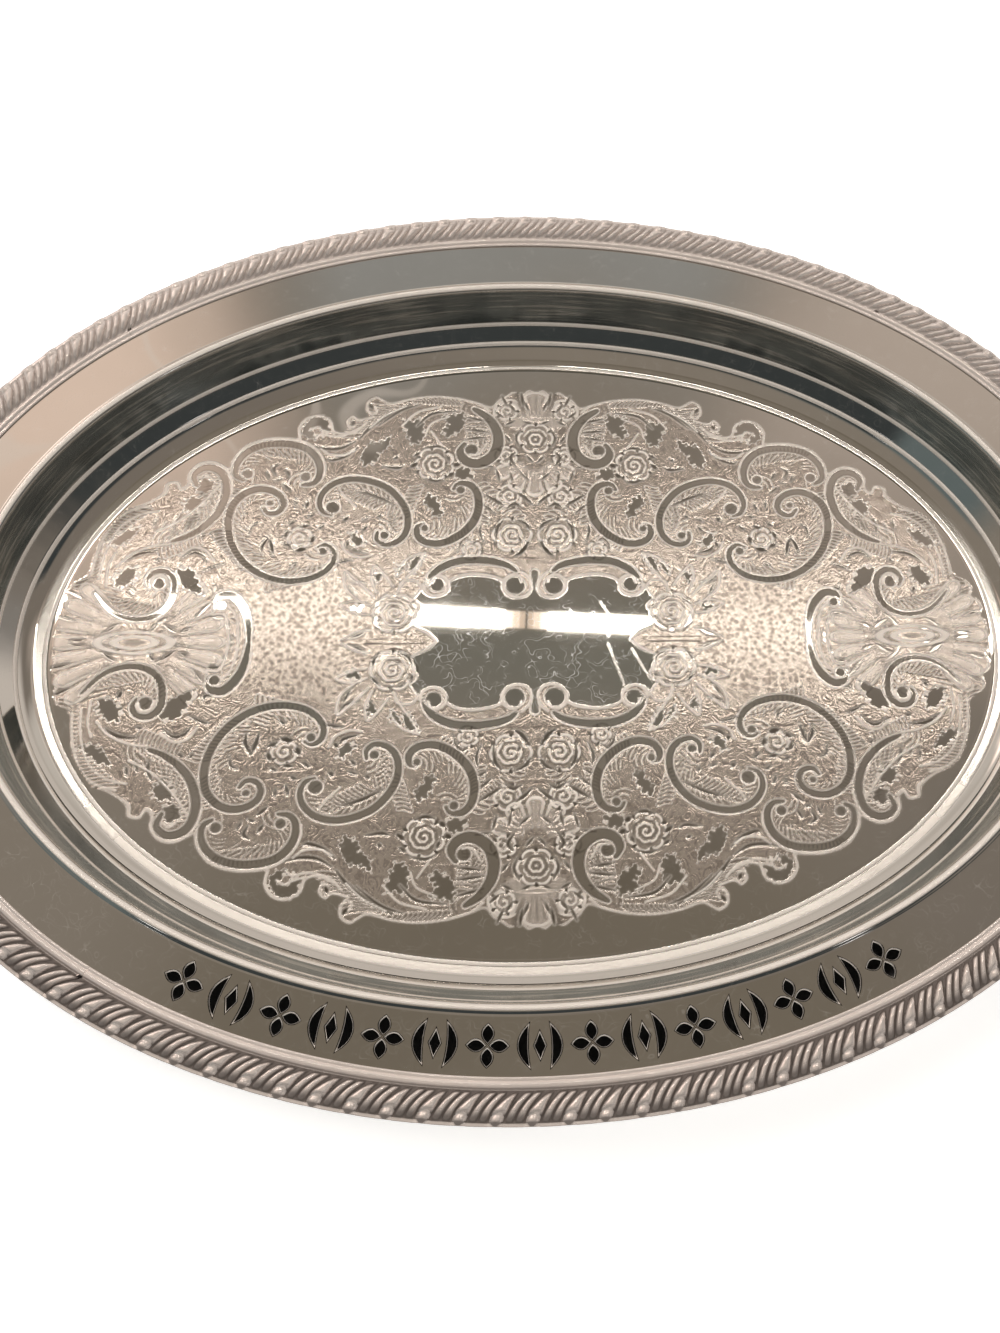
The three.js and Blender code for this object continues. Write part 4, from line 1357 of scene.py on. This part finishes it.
# Painted shade of the wall, with light streaks of painted reflection on it
WALL_SHADE_COLOUR = (0.225, 0.26, 0.26)
WALL_REFLECTION_STREAK = (0.52, 0.53, 0.50)
WALL_ROUGHNESS = 0.2
MATTED = (0.68, 0.60, 0.53)
MATTED_ROUGHNESS = 0.2
LINE_SILVER = (0.97, 0.90, 0.83)
LINE_ROUGHNESS = 0.4
CUT_SILVER = (0.30, 0.265, 0.23)
STROKE_SILVER = (0.35, 0.29, 0.245)
BORDER_SILVER = (0.96, 0.86, 0.80)
BORDER_METALLIC = 0.58
# Oxide of the border's hollows, with painted shade
OXIDE_AND_SHADE_SILVER = (0.10, 0.08, 0.07)
SCRATCH_SILVER = (0.95, 0.93, 0.9)
MATTED_METALLIC = 0.86
LINE_METALLIC = 0.5
# Depth of the finest relief, in metres
SHEET_BUMP = 0.00012
BORDER_BUMP = 0.00015
# Patterns of the metal: scales in cycles a metre, and how strongly each one shows
NOISE_ROUGHNESS = 0.55
CLOUD_SCALE = 14.0
CLOUD_DIM = 0.96
WALL_RING_SCALE = 1100.0
GRAIN_SCALE = 800.0
PIT_SHARE = 0.4
DOT_SCALE = 560.0
DOT_SHARE = 0.9
STROKE_SCALE = 90.0
STROKE_TURNS = 105.0
STROKE_BREAK_SCALE = 420.0
HOLLOW_SHARE = 0.5
CREST_SHARE = 0.6
SCRATCH_GATE_SCALE = 160.0
BORDER_CLOUD_SCALE = 30.0
BORDER_CLOUD_DIM = 0.93
BORDER_GRAIN_SCALE = 420.0
# Contours that the curled scratches follow: scale of the noise, level
SCRATCH_CONTOURS = ((150.0, 0.5), (150.0, 0.58), (240.0, 0.46))


class Nodes:
    """Adds and links nodes in one tree."""

    def __init__(self, tree):
        self.tree = tree

    def add(self, kind, **settings):
        node = self.tree.nodes.new(kind)
        for name, value in settings.items():
            setattr(node, name, value)
        return node

    def feed(self, socket, value):
        """Links a socket to this one, or sets its value; None leaves it as it is."""
        if isinstance(value, bpy.types.NodeSocket):
            self.tree.links.new(value, socket)
        elif value is not None:
            socket.default_value = value

    def math(self, operation, first, second=None, clamp=False):
        node = self.add("ShaderNodeMath", operation=operation, use_clamp=clamp)
        self.feed(node.inputs[0], first)
        self.feed(node.inputs[1], second)
        return node.outputs[0]

    def product(self, first, *others):
        for other in others:
            first = self.math("MULTIPLY", first, other)
        return first

    def away(self, value, middle):
        """How far a value lies from a middle, either way."""
        return self.math("ABSOLUTE", self.math("SUBTRACT", value, middle))

    def vector(self, operation, first, second=None):
        node = self.add("ShaderNodeVectorMath", operation=operation)
        self.feed(node.inputs[0], first)
        self.feed(node.inputs[1], second)
        return node.outputs["Value" if operation == "LENGTH" else "Vector"]

    def wrapped(self, value, limit):
        """The value brought between minus and plus this limit."""
        node = self.add("ShaderNodeMath", operation="WRAP")
        for socket, number in zip(node.inputs, (value, limit, -limit)):
            self.feed(socket, number)
        return node.outputs[0]

    def mix(self, share, first, second):
        node = self.add("ShaderNodeMix", data_type="RGBA")
        self.feed(node.inputs["Factor"], share)
        for socket, value in ((node.inputs[6], first), (node.inputs[7], second)):
            self.feed(socket, (*value, 1) if isinstance(value, tuple) else value)
        return node.outputs[2]

    def blend(self, share, first, second):
        """A number between two numbers."""
        node = self.add("ShaderNodeMix", data_type="FLOAT")
        for name, value in (("Factor", share), (2, first), (3, second)):
            self.feed(node.inputs[name], value)
        return node.outputs[0]

    def step(self, low, high, value, to_low=0.0, to_high=1.0):
        node = self.add("ShaderNodeMapRange", interpolation_type="SMOOTHSTEP")
        self.feed(node.inputs["Value"], value)
        limits = (("From Min", low), ("From Max", high), ("To Min", to_low), ("To Max", to_high))
        for name, number in limits:
            node.inputs[name].default_value = number
        return node.outputs[0]

    def noise(self, where, scale, detail=3.0):
        node = self.add("ShaderNodeTexNoise")
        self.feed(node.inputs["Vector"], where)
        node.inputs["Scale"].default_value = scale
        node.inputs["Detail"].default_value = detail
        node.inputs["Roughness"].default_value = NOISE_ROUGHNESS
        return node.outputs["Fac"]

    def attribute(self, name):
        return self.add("ShaderNodeAttribute", attribute_name=name).outputs["Fac"]

    def stretched(self, where, scale):
        node = self.add("ShaderNodeMapping")
        self.feed(node.inputs["Vector"], where)
        node.inputs["Scale"].default_value = scale
        return node.outputs[0]

    def bump(self, strength, distance, height, normal=None):
        node = self.add("ShaderNodeBump")
        settings = (("Strength", strength), ("Distance", distance),
                    ("Height", height), ("Normal", normal))
        for name, value in settings:
            self.feed(node.inputs[name], value)
        return node.outputs[0]


def new_material(name, metallic):
    """A material with its shader and the place on the object, in metres."""
    material = bpy.data.materials.new(name)
    material.use_nodes = True
    nodes = Nodes(material.node_tree)
    shader = material.node_tree.nodes["Principled BSDF"]
    shader.inputs["Metallic"].default_value = metallic
    place = nodes.add("ShaderNodeTexCoord").outputs["Object"]
    return material, nodes, shader, place


def curled_scratches(nodes, place):
    """Fine curling scratches of use: 1 on a scratch."""
    total = None
    for scale, level in SCRATCH_CONTOURS:
        away = nodes.away(nodes.noise(place, scale, 1.0), level)
        line = nodes.step(0.006, 0.002, away)
        total = line if total is None else nodes.math("MAXIMUM", total, line)
    gate = nodes.step(0.36, 0.66, nodes.noise(place, SCRATCH_GATE_SCALE, 2.0))
    return nodes.product(total, gate)


def chased_strokes(nodes, place):
    """Curling tool strokes of the ground, alike in all four quarters: a wave from -1 to 1."""
    shift = (SHIFT[0] * MM, SHIFT[1] * MM, 0)
    mirrored = nodes.vector("ABSOLUTE", nodes.vector("SUBTRACT", place, shift))
    bend = nodes.noise(mirrored, STROKE_SCALE, 2.2)
    wave = nodes.math("SINE", nodes.product(bend, STROKE_TURNS))
    breaks = nodes.step(0.36, 0.6, nodes.noise(mirrored, STROKE_BREAK_SCALE, 1.0), -0.35, 1.0)
    return nodes.product(wave, breaks)


def sheet_material():
    material, nodes, shader, place = new_material("plated_sheet", 1.0)
    matte = nodes.attribute("matte")
    line = nodes.attribute("line")
    dark = nodes.attribute("dark")
    shade = nodes.attribute("shade")
    strokes_here = nodes.product(matte, nodes.attribute("fine"))
    cloud = nodes.noise(place, CLOUD_SCALE, 4.0)
    wear = nodes.blend(nodes.attribute("worn"), 0.15, 1.0)
    scratch = nodes.product(curled_scratches(nodes, place), wear)
    rings = nodes.noise(nodes.stretched(place, (0.03, 0.03, 1.0)), WALL_RING_SCALE, 2.0)
    grain = nodes.noise(place, GRAIN_SCALE, 2.0)
    wave = chased_strokes(nodes, place)
    punched = nodes.add("ShaderNodeTexVoronoi")
    punched.inputs["Scale"].default_value = DOT_SCALE
    nodes.feed(punched.inputs["Vector"], place)

    cloudy = tuple(CLOUD_DIM * c for c in SILVER)
    colour = nodes.mix(nodes.step(0.3, 0.7, cloud), cloudy, SILVER)
    colour = nodes.mix(scratch, colour, SCRATCH_SILVER)
    # Painted shade on the wall, with streaks of painted reflection
    shaded_wall = nodes.mix(nodes.step(0.5, 0.64, rings, 0.0, 0.9), WALL_SHADE_COLOUR, WALL_REFLECTION_STREAK)
    colour = nodes.mix(shade, colour, shaded_wall)
    colour = nodes.mix(matte, colour, MATTED)
    pits = nodes.product(matte, nodes.step(0.5, 0.64, grain, 0.0, PIT_SHARE))
    colour = nodes.mix(pits, colour, STROKE_SILVER)
    dots = nodes.step(0.55, 0.28, punched.outputs["Distance"], 0.0, DOT_SHARE)
    field = nodes.product(matte, nodes.attribute("pitted"), dots)
    colour = nodes.mix(field, colour, STROKE_SILVER)
    hollow = nodes.product(strokes_here, nodes.step(0.0, -0.6, wave, 0.0, HOLLOW_SHARE))
    colour = nodes.mix(hollow, colour, STROKE_SILVER)
    ridge = nodes.product(strokes_here, nodes.step(0.3, 0.8, wave, 0.0, CREST_SHARE))
    colour = nodes.mix(ridge, colour, MATTED)
    # The dark share holds the engraving's dark cuts and grooves, and painted shadows beside the rosettes
    # and the eye
    colour = nodes.mix(dark, colour, CUT_SILVER)
    # The line share holds the engraving's bright lines and scratches, and painted highlights on the ridge,
    # beads, cove band and openings' edges
    colour = nodes.mix(line, colour, LINE_SILVER)
    nodes.feed(shader.inputs["Base Color"], colour)

    metal = nodes.blend(matte, 1.0, MATTED_METALLIC)
    metal = nodes.math("SUBTRACT", metal, nodes.product(scratch, 0.6), clamp=True)
    nodes.feed(shader.inputs["Metallic"], nodes.blend(line, metal, LINE_METALLIC))
    rough = nodes.step(0.35, 0.75, cloud, POLISHED_ROUGHNESS, POLISHED_ROUGHNESS + 0.015)
    rough = nodes.math("ADD", rough, nodes.product(scratch, 0.03))
    rough = nodes.blend(matte, rough, MATTED_ROUGHNESS)
    rough = nodes.blend(shade, rough, WALL_ROUGHNESS)
    rough = nodes.blend(line, rough, LINE_ROUGHNESS)
    nodes.feed(shader.inputs["Roughness"], rough)

    relief = nodes.product(wave, strokes_here, 0.9)
    relief = nodes.math("ADD", relief, nodes.product(grain, matte, 0.4))
    fine = nodes.bump(0.12, SHEET_BUMP, relief)
    spun = nodes.bump(0.1, SHEET_BUMP, nodes.product(rings, shade), fine)
    nodes.feed(shader.inputs["Normal"], spun)
    return material


def border_material():
    material, nodes, shader, place = new_material("struck_border", BORDER_METALLIC)
    oxide_and_shade = nodes.attribute("oxide_and_shade")
    cloud = nodes.noise(place, BORDER_CLOUD_SCALE)
    cloudy = tuple(BORDER_CLOUD_DIM * c for c in BORDER_SILVER)
    colour = nodes.mix(nodes.step(0.3, 0.7, cloud), cloudy, BORDER_SILVER)
    # Oxide in the border's hollows, with painted shade
    colour = nodes.mix(nodes.product(oxide_and_shade, 0.9), colour, OXIDE_AND_SHADE_SILVER)
    nodes.feed(shader.inputs["Base Color"], colour)
    rough = nodes.step(0.3, 0.8, cloud, 0.16, 0.21)
    nodes.feed(shader.inputs["Roughness"], nodes.blend(oxide_and_shade, rough, 0.5))
    fine = nodes.bump(0.08, BORDER_BUMP, nodes.noise(place, BORDER_GRAIN_SCALE, 2.0))
    nodes.feed(shader.inputs["Normal"], fine)
    return material


# Surroundings

FLOOR_SPAN = 3.2
FLOOR_DROP = 0.0003
FLOOR_COLOUR = (0.9, 0.9, 0.9)
FLOOR_GLOW = 0.45
# A shadow is painted on the floor this far beyond the tray's own floor, so that the openings look dark
PAINTED_SHADOW_REACH = 40.0
PAINTED_SHADOW_COLOUR = (0.012, 0.012, 0.012)

DOME = (0.25, 0.22, 0.187)
# Soft patches of the surroundings: turn and height of the middle, half sizes, softness, colour
PATCHES = [
    (100, 50, 65, 70, 25, (0.20, 0.175, 0.152)),
    (0, 6, 180, 8, 9, (0.27, 0.26, 0.25)),
    (0, 12, 60, 14, 8, (0.60, 0.55, 0.51)),
    (0, 35, 40, 10, 5, (0.58, 0.54, 0.50)),
    (0, 41, 34, 2, 2.5, (0.85, 0.79, 0.75)),
    (-122, 30, 26, 13, 8, (0.13, 0.16, 0.165)),
    (158, 32, 76, 10, 4, (0.043, 0.049, 0.051)),
    (-38, 50, 21, 7, 5, (0.80, 0.64, 0.545)),
    (38, 50, 22, 7, 6, (0.49, 0.42, 0.37)),
    (1, 49, 13, 4, 4, (0.295, 0.295, 0.285)),
    (0, 64.5, 24, 3.5, 4, (0.19, 0.183, 0.158)),
    (0, 77, 60, 6, 4, (0.185, 0.16, 0.128)),
    (-40, 22, 10, 8, 5, (2.6, 2.15, 1.95)),
    (136, 33, 2, 1, 1.5, (4.0, 4.0, 4.1)),
    (-128, 33, 2, 1, 1.5, (4.0, 4.0, 4.1)),
]
WAVER = 8.0
WAVER_SCALE = 5.0
# Wavy lines of the ceiling, placed as the patches are
LOOPS = (-30, 48, 26, 9, 6)
LOOP_COLOUR = (0.75, 0.68, 0.62)
LOOP_SCALE = 11.0
LOOP_SHARE = 0.4


def build_world():
    world = bpy.data.worlds.new("studio")
    bpy.context.scene.world = world
    world.use_nodes = True
    nodes = Nodes(world.node_tree)
    background = world.node_tree.nodes["Background"]
    way = nodes.add("ShaderNodeTexCoord").outputs["Generated"]
    split = nodes.add("ShaderNodeSeparateXYZ")
    nodes.feed(split.inputs[0], way)
    waver = nodes.product(nodes.math("SUBTRACT", nodes.noise(way, WAVER_SCALE), 0.5), WAVER)
    rise = nodes.math("DEGREES", nodes.math("ARCSINE", split.outputs["Z"]))
    rise = nodes.math("ADD", rise, waver)
    turn = nodes.math("DEGREES", nodes.math("ARCTAN2", split.outputs["X"], split.outputs["Y"]))
    turn = nodes.math("ADD", turn, waver)

    def share_of(middle, height, half_turn, half_rise, soft):
        across = nodes.wrapped(nodes.math("SUBTRACT", turn, float(middle)), 180.0)
        across = nodes.math("ABSOLUTE", across)
        share = nodes.step(half_turn + soft, half_turn - soft, across)
        away = nodes.away(rise, float(height))
        return nodes.product(share, nodes.step(half_rise + soft, half_rise - soft, away))

    colour = DOME
    for *place, patch in PATCHES:
        colour = nodes.mix(share_of(*place), colour, patch)
    contour = nodes.away(nodes.noise(way, LOOP_SCALE, 1.0), 0.5)
    loop = nodes.product(nodes.step(0.022, 0.008, contour), share_of(*LOOPS), LOOP_SHARE)
    colour = nodes.mix(loop, colour, LOOP_COLOUR)
    path = nodes.add("ShaderNodeLightPath")
    colour = nodes.mix(path.outputs["Is Camera Ray"], colour, (1.0, 1.0, 1.0))
    nodes.feed(background.inputs["Color"], colour)


def add_lamp(name, place, size, power, colour):
    """A rectangular lamp that shines straight down."""
    light = bpy.data.lights.new(name, "AREA")
    light.shape = "RECTANGLE"
    light.size, light.size_y = size
    light.energy = power
    light.color = colour
    lamp = bpy.data.objects.new(name, light)
    bpy.context.scene.collection.objects.link(lamp)
    lamp.location = place
    return lamp


STRIP_HEIGHT = 1.5
STRIP_WIDTH = 0.028
STRIP_MIDDLE = (0.027, 0.748)
STRIP_TURN = -4.0
# Each tube in two stretches: start and end from the seam, power, colour
STRETCHES = [
    (0.0018, 0.010, 0.0005, (1.0, 0.76, 0.60)),
    (0.010, 0.020, 0.0010, (1.0, 0.82, 0.68)),
    (0.020, 0.032, 0.0018, (1.0, 0.88, 0.78)),
    (0.032, 0.8, 1.1, (1.0, 0.95, 0.89)),
]
# Soft lamps, aimed at the tray: name, place, side, power, colour
SOFT_LAMPS = [
    ("soft_lamp", (0.9, -0.9, 2.2), 1.6, 30.0, (1, 0.98, 0.95)),
    ("side_lamp", (-1.4, 0.6, 1.8), 1.4, 22.0, (1, 0.98, 0.96)),
]


def build_lamps():
    """Two tubes end to end over the tray, and soft lamps that only light what is dull."""
    turn = math.radians(STRIP_TURN)
    middle_x, middle_y = STRIP_MIDDLE
    for side in (-1, 1):
        for start, end, power, colour in STRETCHES:
            reach = side * (start + end) / 2
            x = middle_x + reach * math.cos(turn)
            y = middle_y + reach * math.sin(turn)
            size = (end - start, STRIP_WIDTH)
            strip = add_lamp("strip_lamp", (x, y, STRIP_HEIGHT), size, power, colour)
            strip.rotation_euler = (0, 0, turn)
    for name, place, side, power, colour in SOFT_LAMPS:
        lamp = add_lamp(name, place, (side, side), power, colour)
        lamp.rotation_euler = (-Vector(place)).to_track_quat("-Z", "Y").to_euler()
        lamp.visible_glossy = False


def build_floor():
    """The white surface, seen as white by the camera, with a shadow painted where the tray hides it."""
    half = FLOOR_SPAN / 2 / MM
    points = [(-half, -half, 0), (half, -half, 0), (half, half, 0), (-half, half, 0)]
    material, nodes, shader, place = new_material("studio_floor", 0.0)
    reach_x = (FLOOR_HALF_LENGTH + PAINTED_SHADOW_REACH) * MM
    reach_y = (FLOOR_HALF_WIDTH + PAINTED_SHADOW_REACH) * MM
    scaled = nodes.vector("MULTIPLY", place, (1 / reach_x, 1 / reach_y, 0))
    radius = nodes.vector("LENGTH", scaled)
    # Painted shadow under the tray, out to the reach above
    colour = nodes.mix(nodes.step(0.93, 1.0, radius), PAINTED_SHADOW_COLOUR, FLOOR_COLOUR)
    nodes.feed(shader.inputs["Base Color"], colour)
    shader.inputs["Roughness"].default_value = 0.9
    shader.inputs["Specular IOR Level"].default_value = 0.1
    path = nodes.add("ShaderNodeLightPath")
    beyond = nodes.step(0.97, 1.03, radius, 0.0, FLOOR_GLOW)
    shader.inputs["Emission Color"].default_value = (1, 1, 1, 1)
    glow = nodes.product(path.outputs["Is Camera Ray"], beyond)
    nodes.feed(shader.inputs["Emission Strength"], glow)
    floor = make_object("studio_floor", points, [(0, 1, 2, 3)], material)
    floor.location.z = -FLOOR_DROP


# Camera, at the photograph's place: degrees, millimetres, and pixels of its image

CAMERA_TURN = -6.66
CAMERA_HEIGHT_ANGLE = 62.75
CAMERA_ROLL = 4.93
CAMERA_PLACE = (-8.1, -206.8, 430.0)
FOCAL_PIXELS = 1461.0
IMAGE_WIDTH = 1000
IMAGE_HEIGHT = 1333
AXIS_X = 580.0
AXIS_Y = 600.0
SENSOR = 36.0


def build_camera():
    turn = math.radians(CAMERA_TURN)
    rise = math.radians(CAMERA_HEIGHT_ANGLE)
    roll = math.radians(CAMERA_ROLL)
    back = Vector((math.sin(turn) * math.cos(rise), -math.cos(turn) * math.cos(rise), math.sin(rise)))
    level = Vector((math.cos(turn), math.sin(turn), 0))
    upright = back.cross(level)
    right = level * math.cos(roll) + upright * math.sin(roll)
    up = upright * math.cos(roll) - level * math.sin(roll)
    data = bpy.data.cameras.new("camera")
    data.sensor_width = SENSOR
    data.lens = FOCAL_PIXELS * SENSOR / IMAGE_HEIGHT
    data.shift_x = (IMAGE_WIDTH / 2 - AXIS_X) / IMAGE_HEIGHT
    data.shift_y = (AXIS_Y - IMAGE_HEIGHT / 2) / IMAGE_HEIGHT
    data.clip_start = 0.01
    camera = bpy.data.objects.new("camera", data)
    bpy.context.scene.collection.objects.link(camera)
    frame_of_axes = Matrix((right, up, back)).transposed().to_4x4()
    camera.matrix_world = Matrix.Translation(Vector(CAMERA_PLACE) * MM) @ frame_of_axes
    bpy.context.scene.camera = camera


# The scene


def main():
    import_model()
    bpy.context.scene.view_settings.view_transform = "Standard"
    build_camera()
    build_world()
    build_lamps()
    build_floor()
    sheet = build_sheet(sheet_material())
    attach(sheet, "root")
    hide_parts("tray_body")
    struck = border_material()
    for index, node in enumerate(BORDER_NAMES):
        length = build_border(index, struck)
        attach(length, "root")
        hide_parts(node)


main()
